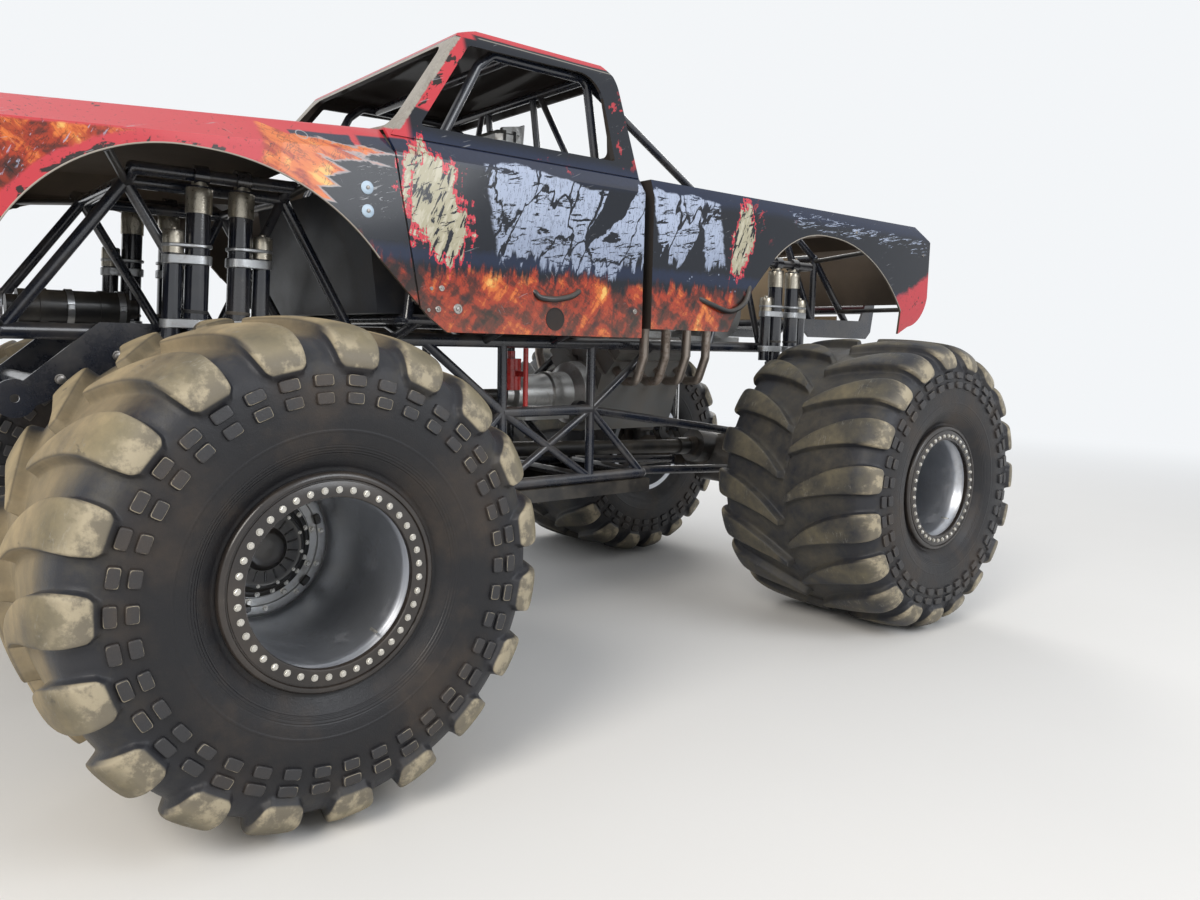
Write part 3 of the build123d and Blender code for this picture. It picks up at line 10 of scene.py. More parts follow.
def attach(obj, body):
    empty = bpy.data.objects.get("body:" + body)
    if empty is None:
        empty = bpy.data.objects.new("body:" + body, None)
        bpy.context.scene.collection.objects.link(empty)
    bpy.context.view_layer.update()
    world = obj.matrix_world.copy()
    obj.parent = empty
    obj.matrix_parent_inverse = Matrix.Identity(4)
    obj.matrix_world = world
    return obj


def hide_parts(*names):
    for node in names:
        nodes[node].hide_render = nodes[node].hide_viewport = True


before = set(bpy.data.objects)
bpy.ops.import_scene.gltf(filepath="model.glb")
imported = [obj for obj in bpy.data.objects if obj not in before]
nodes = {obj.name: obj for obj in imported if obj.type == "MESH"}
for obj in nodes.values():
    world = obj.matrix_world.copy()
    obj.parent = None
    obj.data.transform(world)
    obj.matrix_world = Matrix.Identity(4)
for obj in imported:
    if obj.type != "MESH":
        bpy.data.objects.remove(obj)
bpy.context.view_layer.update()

scene = bpy.context.scene
scene.view_settings.view_transform = "Standard"
print("frame loaded:", len(nodes), "nodes")


# Mesh helpers that all pieces share

def putMesh(name, points, faces, body, material, smoothAngle=35.0, marks=None):
    # A mesh object from arrays; faces is a list of (n, k) index arrays, marks are values per point
    mesh = bpy.data.meshes.new(name)
    points = np.asarray(points, float).reshape(-1, 3)
    mesh.vertices.add(len(points))
    mesh.vertices.foreach_set("co", points.astype(np.float32).ravel())
    corners = np.concatenate([f.ravel() for f in faces])
    sizes = np.concatenate([np.full(len(f), f.shape[1]) for f in faces])
    starts = np.concatenate([[0], np.cumsum(sizes)[:-1]])
    mesh.loops.add(len(corners))
    mesh.loops.foreach_set("vertex_index", corners.astype(np.int32))
    mesh.polygons.add(len(sizes))
    mesh.polygons.foreach_set("loop_start", starts.astype(np.int32))
    mesh.polygons.foreach_set("use_smooth", np.ones(len(sizes), bool))
    for key, values in (marks or {}).items():
        layer = mesh.attributes.new(key, "FLOAT", "POINT")
        layer.data.foreach_set("value", np.asarray(values, np.float32).ravel())
    mesh.update(calc_edges=True)
    mesh.validate()
    mesh.set_sharp_from_angle(angle=math.radians(smoothAngle))
    piece = bpy.data.objects.new(name, mesh)
    scene.collection.objects.link(piece)
    mesh.materials.append(material)
    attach(piece, body)
    return piece


def putParts(name, parts, material, smoothAngle=35.0):
    # Several shapes as one piece that rides on the chassis
    points, faces = gather(parts)
    return putMesh(name, points, faces, "chassis", material, smoothAngle)


def gridFaces(rows, columns, closeRows=False, closeColumns=False, first=0):
    # Four-cornered faces between neighbouring points of a rows by columns grid
    i = np.arange(rows if closeRows else rows - 1)[:, None]
    j = np.arange(columns if closeColumns else columns - 1)[None, :]
    nextI = (i + 1) % rows
    nextJ = (j + 1) % columns
    quads = np.stack([i * columns + j, i * columns + nextJ, nextI * columns + nextJ, nextI * columns + j], -1)
    return quads.reshape(-1, 4) + first


def gather(parts):
    # Several (points, faces) pairs as one, with the face numbers moved on
    points, faces, count = [], [], 0
    for somePoints, someFaces in parts:
        somePoints = np.asarray(somePoints, float).reshape(-1, 3)
        points.append(somePoints)
        faces += [f + count for f in someFaces]
        count += len(somePoints)
    return np.concatenate(points), faces


def turnProfile(profile, steps, closed=True):
    # Round surface about X: each (along, radius) pair of the profile is carried round a circle in
    # equal steps, so a point is (along, radius * sin(angle), radius * cos(angle)). Its outside is on the
    # left of the profile's run: a profile that runs along +X faces away from the axis
    profile = np.asarray(profile, float)
    angle = np.arange(steps) / steps * 2 * math.pi
    along = np.repeat(profile[:, :1], steps, 1)
    points = np.stack([along, profile[:, 1:] * np.sin(angle), profile[:, 1:] * np.cos(angle)], -1)
    return points.reshape(-1, 3), [gridFaces(len(profile), steps, closed, True)[:, ::-1]]


def spread(shape, places):
    # The shape's points once for each 3x4 row of turn and place, all worked out at one go
    points, faces = shape
    places = np.asarray(places, float)
    many = np.einsum("nij,kj->nki", places[:, :, :3], points) + places[:, None, :, 3]
    count = np.arange(len(places))[:, None, None] * len(points)
    return many.reshape(-1, 3), [(f[None] + count).reshape(-1, f.shape[1]) for f in faces]


def ringPlaces(count, radius, along, start=0.0):
    # Places round the X axis: the shape's Z turns to point outwards and its X stays along the axis
    angle = start + np.arange(count) / count * 2 * math.pi
    places = np.zeros((count, 3, 4))
    places[:, 0, 0] = 1
    places[:, 1, 1], places[:, 1, 2] = np.cos(angle), np.sin(angle)
    places[:, 2, 1], places[:, 2, 2] = -np.sin(angle), np.cos(angle)
    places[:, 0, 3] = along
    places[:, 1, 3], places[:, 2, 3] = radius * np.sin(angle), radius * np.cos(angle)
    return places


def boltHead(radius, height, washer=0.3):
    # Six-sided head with a domed edge on a round washer, standing along +X
    angle = np.arange(12) / 12 * 2 * math.pi
    hexRadius = radius * (1 + 0.075 * np.cos(angle * 6))
    wide = radius * (1 + washer)
    rows = [(0.0, wide, 0), (height * 0.2, wide, 0), (height * 0.22, 1.0, 1), (height * 0.86, 1.0, 1),
            (height, 0.84, 1), (height, 0.02, 1)]
    points = []
    for along, size, isHex in rows:
        r = hexRadius * size if isHex else np.full(12, size)
        points.append(np.stack([np.full(12, along), r * np.sin(angle), r * np.cos(angle)], -1))
    return np.concatenate(points), [gridFaces(len(rows), 12, False, True)[:, ::-1]]


def moved(shape, x=0.0, y=0.0, z=0.0, mirror=False):
    # The shape set at a place; mirror turns it over to the right side and keeps its faces outwards
    points = np.array(shape[0], float)
    faces = shape[1]
    if mirror:
        points[:, 0] *= -1
        faces = [f[:, ::-1] for f in faces]
    return points + np.array([x, y, z]), faces


def bothSides(parts):
    # The shapes, and their mirror images on the truck's other side
    return parts + [moved(part, mirror=True) for part in parts]


def tubeShape(line, radius, aim=(1, 0, 0), steps=10):
    # Round tube along points: each ring is the point + radius * (cos(angle) * side + sin(angle) * up), where
    # side stands square on the line and on aim, and up on both; a flat face closes each end
    line = np.asarray(line, float)
    way = np.gradient(line, axis=0)
    way /= np.linalg.norm(way, axis=1)[:, None]
    side = np.cross(way, np.asarray(aim, float))
    side /= np.linalg.norm(side, axis=1)[:, None]
    up = np.cross(side, way)
    angle = np.arange(steps) / steps * 2 * math.pi
    ring = np.cos(angle)[None, :, None] * side[:, None] + np.sin(angle)[None, :, None] * up[:, None]
    size = np.broadcast_to(np.asarray(radius, float), len(line))[:, None, None]
    last = (len(line) - 1) * steps
    caps = [np.arange(steps)[None], np.arange(last, last + steps)[None, ::-1]]
    sides = gridFaces(len(line), steps, False, True)[:, ::-1]
    return (line[:, None] + size * ring).reshape(-1, 3), [sides] + caps


def standing(profile, steps, foot, way):
    # Turned profile set with its axis along way from foot
    points, faces = turnProfile(profile, steps, closed=False)
    way = np.asarray(way, float) / np.linalg.norm(way)
    side = np.cross(way, (1.0, 0.0, 0.0) if abs(way[0]) < 0.8 else (0.0, 0.0, 1.0))
    side /= np.linalg.norm(side)
    turn = np.stack([way, side, np.cross(way, side)], 1)
    return points @ turn.T + np.asarray(foot, float), faces


def arcPoints(a, b, c, count):
    # Points on the circle through three points of a plane; the centre is where the two middle lines cross
    a, b, c = [np.asarray(p, float) for p in (a, b, c)]
    centre = np.linalg.solve(2 * np.stack([b - a, c - a]), [b @ b - a @ a, c @ c - a @ a])
    start, end = [math.atan2(*(p - centre)[::-1]) for p in (a, c)]
    turn = (end - start + math.pi) % (2 * math.pi) - math.pi
    angle = start + turn * np.linspace(0, 1, count)
    return centre + np.linalg.norm(a - centre) * np.stack([np.cos(angle), np.sin(angle)], -1)


def smoothStep(value, low, high):
    # 0 below low, 1 above high, between them t * t * (3 - 2 * t)
    t = np.clip((value - low) / (high - low), 0, 1)
    return t * t * (3 - 2 * t)


# Materials: arithmetic on node sockets, and the textures that the finishes use

class Value:
    # One socket of a material's node tree, which takes plain arithmetic
    def __init__(self, finish, socket):
        self.finish = finish
        self.socket = socket

    def math(self, operation, *others, clamp=False):
        node = self.finish.tree.nodes.new("ShaderNodeMath")
        node.operation = operation
        node.use_clamp = clamp
        for place, value in enumerate((self, *others)):
            self.finish.plug(value, node.inputs[place])
        return Value(self.finish, node.outputs[0])

    def __add__(self, other):
        return self.math("ADD", other)

    def __sub__(self, other):
        return self.math("SUBTRACT", other)

    def __rsub__(self, other):
        return (self * -1.0).math("ADD", other)

    def __mul__(self, other):
        return self.math("MULTIPLY", other)

    __radd__ = __add__
    __rmul__ = __mul__

    def low(self, other):
        return self.math("MINIMUM", other)

    def high(self, other):
        return self.math("MAXIMUM", other)

    def size(self):
        return self.math("ABSOLUTE")

    def clamp(self):
        return self.math("ADD", 0.0, clamp=True)

    def inverse(self):
        # 1 minus the value, kept between 0 and 1
        return (self * -1.0).math("ADD", 1.0, clamp=True)

    def ramp(self, low, high):
        # 0 below low, 1 above high, smooth between; either way round
        node = self.finish.tree.nodes.new("ShaderNodeMapRange")
        node.interpolation_type = "SMOOTHSTEP"
        self.finish.plug(self, node.inputs["Value"])
        flip = not isinstance(low, Value) and not isinstance(high, Value) and low > high
        self.finish.plug(high if flip else low, node.inputs["From Min"])
        self.finish.plug(low if flip else high, node.inputs["From Max"])
        node.inputs["To Min"].default_value = 1.0 if flip else 0.0
        node.inputs["To Max"].default_value = 0.0 if flip else 1.0
        return Value(self.finish, node.outputs["Result"])


class Finish:
    # A procedural material: colour, roughness and bump come from its own nodes
    def __init__(self, name, rough=0.5, metal=0.0, coat=0.0, coatRough=0.1, specular=0.5):
        self.material = bpy.data.materials.new(name)
        self.material.use_nodes = True
        self.tree = self.material.node_tree
        self.shader = self.tree.nodes["Principled BSDF"]
        self.shader.inputs["Roughness"].default_value = rough
        self.shader.inputs["Metallic"].default_value = metal
        self.shader.inputs["Coat Weight"].default_value = coat
        self.shader.inputs["Coat Roughness"].default_value = coatRough
        self.shader.inputs["Specular IOR Level"].default_value = specular
        self.place = self.tree.nodes.new("ShaderNodeTexCoord").outputs["Object"]
        split = self.tree.nodes.new("ShaderNodeSeparateXYZ")
        self.tree.links.new(self.place, split.inputs[0])
        self.x, self.y, self.z = [Value(self, split.outputs[i]) for i in range(3)]

    def plug(self, value, socket):
        if isinstance(value, Value):
            self.tree.links.new(value.socket, socket)
        elif isinstance(value, (tuple, list)):
            socket.default_value = (*value[:3], 1.0)[:len(socket.default_value)]
        else:
            socket.default_value = value

    def mapped(self, stretch, shift=(0, 0, 0), turn=(0, 0, 0)):
        # Turned first and then stretched, which is what the node's Texture kind does with 1 / stretch
        node = self.tree.nodes.new("ShaderNodeMapping")
        node.vector_type = "TEXTURE"
        node.inputs["Scale"].default_value = [1 / s if s else 0.0 for s in stretch]
        node.inputs["Location"].default_value = shift
        node.inputs["Rotation"].default_value = [math.radians(t) for t in turn]
        self.tree.links.new(self.place, node.inputs["Vector"])
        return node.outputs[0]

    def noise(self, scale, detail=4.0, rough=0.55, stretch=(1, 1, 1), shift=(0, 0, 0), bend=0.0,
              turn=(0, 0, 0)):
        node = self.tree.nodes.new("ShaderNodeTexNoise")
        node.inputs["Scale"].default_value = scale
        node.inputs["Detail"].default_value = detail
        node.inputs["Roughness"].default_value = rough
        node.inputs["Distortion"].default_value = bend
        self.tree.links.new(self.mapped(stretch, shift, turn), node.inputs["Vector"])
        return Value(self, node.outputs["Fac"])

    def cells(self, scale, stretch=(1, 1, 1), shift=(0, 0, 0), edge=False, turn=(0, 0, 0)):
        node = self.tree.nodes.new("ShaderNodeTexVoronoi")
        node.feature = "DISTANCE_TO_EDGE" if edge else "F1"
        node.inputs["Scale"].default_value = scale
        self.tree.links.new(self.mapped(stretch, shift, turn), node.inputs["Vector"])
        return Value(self, node.outputs["Distance"])

    def shards(self, scale, stretch, shift, bend, turn):
        # Broken pieces: distance to the nearest break, and one chance value for each; bend frays the breaks
        place = self.mapped(stretch, shift, turn)
        fray = self.tree.nodes.new("ShaderNodeTexNoise")
        fray.inputs["Scale"].default_value = 14.0
        fray.inputs["Detail"].default_value = 6.0
        self.tree.links.new(place, fray.inputs["Vector"])
        wide = self.tree.nodes.new("ShaderNodeVectorMath")
        wide.operation = "MULTIPLY_ADD"
        wide.inputs[1].default_value = (0.0, bend, bend)
        self.tree.links.new(fray.outputs["Color"], wide.inputs[0])
        self.tree.links.new(place, wide.inputs[2])
        found = []
        for feature, output in (("DISTANCE_TO_EDGE", "Distance"), ("F1", "Color")):
            node = self.tree.nodes.new("ShaderNodeTexVoronoi")
            node.feature = feature
            node.inputs["Scale"].default_value = scale
            self.tree.links.new(wide.outputs[0], node.inputs["Vector"])
            found.append(Value(self, node.outputs[output]))
        return found

    def facing(self):
        # Which way the surface faces, as its x, y and z
        geometry = self.tree.nodes.new("ShaderNodeNewGeometry")
        split = self.tree.nodes.new("ShaderNodeSeparateXYZ")
        self.tree.links.new(geometry.outputs["Normal"], split.inputs[0])
        return [Value(self, split.outputs[i]) for i in range(3)]

    def mark(self, name):
        # A value that the mesh carries at each point
        node = self.tree.nodes.new("ShaderNodeAttribute")
        node.attribute_name = name
        return Value(self, node.outputs["Fac"])

    def mix(self, share, under, over):
        node = self.tree.nodes.new("ShaderNodeMix")
        node.data_type = "RGBA"
        self.plug(share, node.inputs[0])
        self.plug(under, node.inputs[6])
        self.plug(over, node.inputs[7])
        return Value(self, node.outputs[2])

    def layers(self, base, *coats):
        # Coats of (share, colour) laid over the base colour in turn
        colour = base
        for share, over in coats:
            colour = self.mix(share, colour, over)
        return colour

    def bump(self, height, depth, strength=1.0):
        node = self.tree.nodes.new("ShaderNodeBump")
        node.inputs["Strength"].default_value = strength
        node.inputs["Distance"].default_value = depth
        self.plug(height, node.inputs["Height"])
        self.tree.links.new(node.outputs[0], self.shader.inputs["Normal"])

    def done(self, colour, rough=None, metal=None):
        self.plug(colour, self.shader.inputs["Base Color"])
        if rough is not None:
            self.plug(rough, self.shader.inputs["Roughness"])
        if metal is not None:
            self.plug(metal, self.shader.inputs["Metallic"])
        return self.material


def between(value, low, high, soft):
    # 1 between low and high, with soft edges
    return value.ramp(low - soft, low + soft) * value.ramp(high + soft, high - soft)


# Lengths in metres, turns in degrees
tyre = {
    "centreX": 1.232, "axleY": 1.815, "axleZ": 0.838,
    "lugs": 19, "noseAt": 0.006, "endAt": 0.574, "frontTurn": 6.0, "rearTurn": 12.8, "pointStep": 0.0015,
    "slowWave": 0.0016, "quickWave": 0.0011,  # wear and flex
    "blockRows": [(0.642, 0.062), (0.588, 0.054)], "blockWide": 0.036, "blockHigh": 0.011,  # radius, length
    "rubber": (0.0115, 0.0115, 0.0135), "tread": (0.024, 0.025, 0.030), "mud": (0.085, 0.060, 0.040),
    "dust": (0.36, 0.285, 0.170), "greyDust": (0.175, 0.155, 0.095), "edgeDust": (0.42, 0.36, 0.25),
    "scratch": (0.24, 0.23, 0.20), "blockTop": (0.040, 0.040, 0.043),
}
# Across the tread: distance from the middle, how far the lug lags in degrees, half width of its top
lugLine = [(0.000, 12.9, 1.0), (0.030, 12.0, 1.3), (0.075, 9.9, 2.0), (0.150, 6.9, 3.0), (0.290, 3.1, 4.4),
           (0.420, 0.9, 5.1), (0.500, 0.2, 5.3), (0.545, 0.0, 4.9), (0.574, 0.0, 3.6), (0.70, 0.0, 3.0)]
# Way across the tread: the lug's height there, and the width of its sloped wall in degrees
lugHeights = [(0.0, 0.046), (0.05, 0.047), (0.2, 0.049), (0.44, 0.050), (0.50, 0.046), (0.54, 0.035),
              (tyre["endAt"], 0.021)]
lugWalls = [(0.0, 1.0), (0.06, 1.0), (0.44, 1.05), (0.53, 0.95), (tyre["endAt"], 1.3), (0.70, 2.0),
            (1.1, 3.0)]
# Grid columns from the middle of a lug: shares of its crown, its wall and the gap, and share of its height
lugColumns = [(0.0, 0, 0, 1.0), (0.45, 0, 0, 0.995), (0.78, 0, 0, 0.975), (0.93, 0, 0, 0.94),
              (1.0, 0.06, 0, 0.86), (1.0, 0.28, 0, 0.60), (1.0, 0.55, 0, 0.28), (1.0, 0.85, 0, 0.07),
              (1.0, 1.15, 0, 0.0), (1.0, 1.3, 0.35, 0.0), (1.0, 1.3, 0.7, 0.0), (1.0, 1.3, 1.0, 0.0)]
# Carcass from the middle of the tread to the bead: distance from the middle, radius
carcassLine = [(0.0, 0.7905), (0.10, 0.790), (0.20, 0.7875), (0.30, 0.782), (0.38, 0.774), (0.436, 0.762),
               (0.478, 0.738), (0.506, 0.706), (0.520, 0.672), (0.527, 0.632), (0.5300, 0.590),
               (0.5315, 0.545), (0.5300, 0.500), (0.5240, 0.460), (0.514, 0.427), (0.4965, 0.402),
               (0.4850, 0.3895), (0.4800, 0.3835), (0.4765, 0.3765), (0.4720, 0.3715), (0.4702, 0.3650),
               (0.4701, 0.3420), (0.4690, 0.3215)]
# Inside of the carcass from bead to bead: distance from the middle, radius
innerLine = [(0.434, 0.3215), (0.495, 0.56), (0.42, 0.735), (0.0, 0.755), (-0.42, 0.735), (-0.495, 0.56),
             (-0.434, 0.3215)]


def alongLine(line, step):
    # Points on a smooth line through the given ones, about one step apart (cubic through four at a time)
    line = np.asarray(line, float)
    padded = np.concatenate([2 * line[:1] - line[1:2], line, 2 * line[-1:] - line[-2:-1]])
    out = []
    for a, b, c, d in zip(padded, padded[1:], padded[2:], padded[3:]):
        count = max(1, int(round(np.linalg.norm(c - b) / step)))
        t = np.arange(count)[:, None] / count
        out.append(0.5 * (2 * b + (c - a) * t + (2 * a - 5 * b + 4 * c - d) * t ** 2
                          + (3 * b - a - 3 * c + d) * t ** 3))
    return np.concatenate(out + [line[-1:]])


def tyreRows():
    # Rows across one half of the tyre, closer together where a lug begins and ends
    fine = alongLine(carcassLine, tyre["pointStep"])
    run = np.concatenate([[0], np.cumsum(np.linalg.norm(np.diff(fine, axis=0), axis=1))])
    wanted = np.concatenate([
        [0.0], np.arange(0.006, 0.036, 0.006), np.arange(0.044, 0.44, 0.022),
        np.arange(0.445, 0.530, 0.012), np.arange(0.534, 0.588, 0.006),
        np.arange(0.60, 0.86, 0.026), np.arange(0.868, run[-1], 0.0065), [run[-1]]])
    return wanted, np.stack([np.interp(wanted, run, fine[:, 0]), np.interp(wanted, run, fine[:, 1])], -1)


def lugGrid(run):
    # For each row across: how far the lug lags, the angle of each column and how high the column stands.
    # height = lug height * rise at the nose * fall at the shoulder end * share from lugColumns
    pitch = 360.0 / tyre["lugs"]
    nose, end = tyre["noseAt"], tyre["endAt"]
    smooth = alongLine(lugLine, 0.01)
    lag = np.interp(run, smooth[:, 0], smooth[:, 1])
    crown = np.interp(run, smooth[:, 0], smooth[:, 2])
    wall = np.interp(run, *zip(*lugWalls))
    lift = np.interp(run, *zip(*lugHeights)) * smoothStep(run, nose, nose + 0.020)
    lift = lift * (1 - smoothStep(run, end - 0.016, end + 0.006))
    columns = np.array(lugColumns)
    gap = np.maximum(pitch / 2 - crown - 1.3 * wall, 0.2)
    half = columns[:, 0] * crown[:, None] + columns[:, 1] * wall[:, None] + columns[:, 2] * gap[:, None]
    angles = np.concatenate([half, pitch - half[:, -2:0:-1]], 1)
    share = np.tile(np.concatenate([columns[:, 3], columns[-2:0:-1, 3]]), tyre["lugs"])
    whole = (angles[:, None, :] + (np.arange(tyre["lugs"]) * pitch)[None, :, None]).reshape(len(run), -1)
    return lag, whole, lift[:, None] * share[None, :], angles.shape[1], pitch


def tyreShape(turn):
    # Grid of (row across the tyre) by (angle round it), lifted along the carcass normal by the lugs. The
    # left half's lugs stand half a pitch further round than the right half's
    run, line = tyreRows()
    tangent = np.gradient(line, run, axis=0)
    normal = np.stack([-tangent[:, 1], tangent[:, 0]], -1)
    normal /= np.linalg.norm(normal, axis=1)[:, None]
    lag, whole, rise, perPitch, pitch = lugGrid(run)
    halves = []
    for side in (-1, 1):
        base, sideRise = whole, rise
        if side < 0:
            before = np.where(np.arange(whole.shape[1]) < perPitch // 2, 360.0, 0.0)
            base = np.roll(whole, perPitch // 2, axis=1) + pitch / 2 - before
            sideRise = np.roll(rise, perPitch // 2, axis=1)
        angle = np.radians(base - lag[:, None] + turn)
        # Wear and flex: a slow waviness that is the same all over the wheel and closes on itself
        slow = tyre["slowWave"] * np.sin(3 * angle + 9 * line[:, :1])
        wave = (slow + tyre["quickWave"] * np.sin(7 * angle + side)) * smoothStep(line[:, 1:], 0.42, 0.60)
        radial = line[:, 1:] + normal[:, 1:] * sideRise + wave * (sideRise > 0.01)
        axial = side * (line[:, :1] + normal[:, :1] * sideRise)
        block = np.stack([axial + 0 * angle, radial * np.sin(angle), radial * np.cos(angle)], -1)
        zone = smoothStep(run, 0.66, 0.50)[:, None] + 0 * angle
        keep = slice(None, None, -1) if side < 0 else slice(1, None)
        halves.append([values[keep] for values in (block, sideRise / 0.05, zone, run[:, None] + 0 * angle)])
    points, lug, zone, across = [np.concatenate(pair) for pair in zip(*halves)]
    around = np.arctan2(points[0, :, 1], points[0, :, 2])
    inner = np.array([
        np.stack([np.full(len(around), along), radius * np.sin(around), radius * np.cos(around)], -1)
        for along, radius in innerLine])
    plain = np.zeros(inner.shape[:2])
    marks = {"lug": np.concatenate([lug, plain]).ravel(), "tread": np.concatenate([zone, plain]).ravel(),
             "across": np.concatenate([across, plain + 1]).ravel()}
    points = np.concatenate([points, inner])
    quads = gridFaces(points.shape[0], points.shape[1], True, True)
    return (points.reshape(-1, 3), [quads[:, ::-1]]), marks


def shoulderBlock(long, wide, high):
    # Low block with sloped sides: rounded outlines one above the other, each (size, height), closed on top
    angle = np.arange(16) / 16 * 2 * math.pi
    square = np.stack([np.sign(np.cos(angle)) * np.abs(np.cos(angle)) ** 0.35,
                       np.sign(np.sin(angle)) * np.abs(np.sin(angle)) ** 0.35], -1)
    rows = [(1.12, -0.004), (1.03, high * 0.50), (0.98, high * 0.88), (0.91, high), (0.78, high),
            (0.01, high * 1.02)]
    points = [np.stack([np.full(16, up), square[:, 0] * long / 2 * size, square[:, 1] * wide / 2 * size], -1)
              for size, up in rows]
    return np.concatenate(points), [gridFaces(len(rows), 16, False, True)]


def tyreBlocks(turn):
    # Pairs of low blocks on the shoulder below each lug and each gap, laid on the carcass
    parts = []
    fine = alongLine(carcassLine, tyre["pointStep"])
    count = 2 * tyre["lugs"]
    for side in (-1, 1):
        for radius, long in tyre["blockRows"]:
            k = int(np.argmin(np.abs(fine[:, 1] - radius)))
            tangent = fine[k + 1] - fine[k - 1]
            tangent /= np.linalg.norm(tangent)
            up = np.array([-tangent[1], tangent[0]])
            points, faces = shoulderBlock(long, tyre["blockWide"], tyre["blockHigh"])
            # Turn the block so that its own X points along the carcass normal
            laid = np.stack([up[0] * points[:, 0] - tangent[0] * points[:, 2], points[:, 1],
                             up[1] * points[:, 0] - tangent[1] * points[:, 2]], -1)
            laid[:, 0] += fine[k, 0]
            laid[:, 2] += fine[k, 1]
            if side < 0:
                laid[:, 0] *= -1
                faces = [f[:, ::-1] for f in faces]
            parts.append(spread((laid, faces), ringPlaces(count, 0.0, 0.0, math.radians(turn))))
    points, faces = gather(parts)
    # How scuffed each of a block's six outlines is
    return (points, faces), np.tile(np.repeat([0.0, 0.1, 0.6, 1.0, 0.4, 0.4], 16), len(points) // 96)


def rubberFinish():
    # Dust lies on the tread and fades over the shoulder; the gaps are darkest beside the shoulder
    f = Finish("dustyTyreRubber", specular=0.35)
    lug = f.mark("lug")
    zone = f.mark("tread")
    across = f.mark("across")
    scuff = f.mark("scuff")
    cloud = f.noise(2.2, 6, 0.6)
    grain = f.noise(38, 5, 0.65)
    fine = f.noise(160, 4, 0.7)
    blotch = f.noise(6.5, 7, 0.62, shift=(7, 1, 3))
    scratch = (f.noise(26, 4, 0.6, stretch=(1, 0.16, 0.16), shift=(1, 2, 5)) - 0.5).size().ramp(0.012, 0.004)
    rubbed = f.noise(13, 6, 0.66, stretch=(0.4, 1, 1), shift=(3, 1, 2))
    top = lug.ramp(0.70, 0.96)
    edge = between(lug, 0.50, 0.93, 0.08)
    # front: the front tyres get more and paler dust; this is partly real dust and partly painted light,
    # sunlight painted in as dust
    front = f.y.ramp(0.6, -0.6)
    middle = across.ramp(0.56, 0.30)
    # Share of dust on the lug tops, in the gaps, and on the shoulder and sidewall; on the tops and in the
    # gaps of the front tyres it is partly painted light
    topDustAndLight = (0.02 + front * 0.56 + middle * 0.20 + (cloud - 0.5) * 1.5 + (blotch - 0.5) * 1.1
               + (grain - 0.5) * 0.25).clamp()
    gapDustAndLight = (across.ramp(0.46, 0.20) * (front * 0.5 + 0.12) + (blotch - 0.5) * 0.7
               + (grain - 0.5) * 0.2).clamp()
    sideDust = ((cloud.ramp(0.44, 0.74) * 0.45 + blotch.ramp(0.50, 0.76) * 0.22
                 + fine.ramp(0.55, 0.75) * 0.06) * zone.inverse()).clamp()
    bare = f.mix(zone, tyre["rubber"], tyre["tread"])
    # painted light in part: the front tyres get the paler tan dust, as if sunlit
    dust = f.mix(middle * (front * 0.7 + 0.2) + (blotch - 0.5) * 0.8, tyre["greyDust"], tyre["dust"])
    share = zone * (topDustAndLight * top).high(gapDustAndLight * top.inverse())
    # the front tyres' edges are paler too, partly painted light
    lugEdge = edge * across.ramp(0.40, 0.50) * zone.ramp(0.10, 0.3) * (0.35 + rubbed.ramp(0.45, 0.60) * 0.5)
    edgeLine = lugEdge.high(scuff.ramp(0.70, 1.0) * rubbed.ramp(0.46, 0.62) * (front * 0.5 + 0.35))
    # Fine moulded rings beside the bead
    rings = ((across * 620.0).math("SINE") * between(across, 0.795, 0.830, 0.004)
             + between(across, 0.748, 0.756, 0.003) * 1.5)
    colour = f.layers(bare, (scuff.ramp(0.25, 0.40) * 0.8, tyre["blockTop"]), (sideDust, tyre["mud"]),
                      (share, dust), (scratch * top * rubbed.ramp(0.50, 0.60) * 0.45, tyre["scratch"]),
                      (rubbed.ramp(0.62, 0.70) * top * 0.5, tyre["tread"]), (edgeLine, tyre["edgeDust"]))
    f.bump(grain * 0.6 + fine * 0.4 + blotch * 1.5 + rings * 0.5, 0.005, 0.35)
    rough = 0.39 + 0.48 * share + sideDust * 0.35 + zone * 0.10 + (grain - 0.5) * 0.15
    return f.done(colour, rough=rough.clamp())


def atWheel(shape, sideX, sideY):
    # A wheel's shape, made about its own axle, set at one corner of the truck
    points, faces = moved(shape, mirror=sideX < 0)
    return points + np.array([sideX * tyre["centreX"], sideY * tyre["axleY"], tyre["axleZ"]]), faces


rubber = rubberFinish()
wheelSpots = [("front_left", 1, -1), ("front_right", -1, -1), ("rear_left", 1, 1), ("rear_right", -1, 1)]
for spotName, sideX, sideY in wheelSpots:
    turn = tyre["frontTurn"] if sideY < 0 else tyre["rearTurn"]
    carcass, marks = tyreShape(turn)
    blocks, blockEdges = tyreBlocks(turn)
    marks["scuff"] = np.zeros(len(carcass[0]))
    for key, value in (("lug", 0.2), ("tread", 0.05), ("across", 0.8), ("scuff", blockEdges)):
        marks[key] = np.concatenate([marks[key], np.zeros(len(blockEdges)) + value])
    points, faces = atWheel(gather([carcass, blocks]), sideX, sideY)
    piece = putMesh("tyreTread_" + spotName, points, faces, "wheel_" + spotName, rubber, 50.0,
                    marks)
    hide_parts("tyre_" + spotName)
print("tyres done:", len(points), "points each")


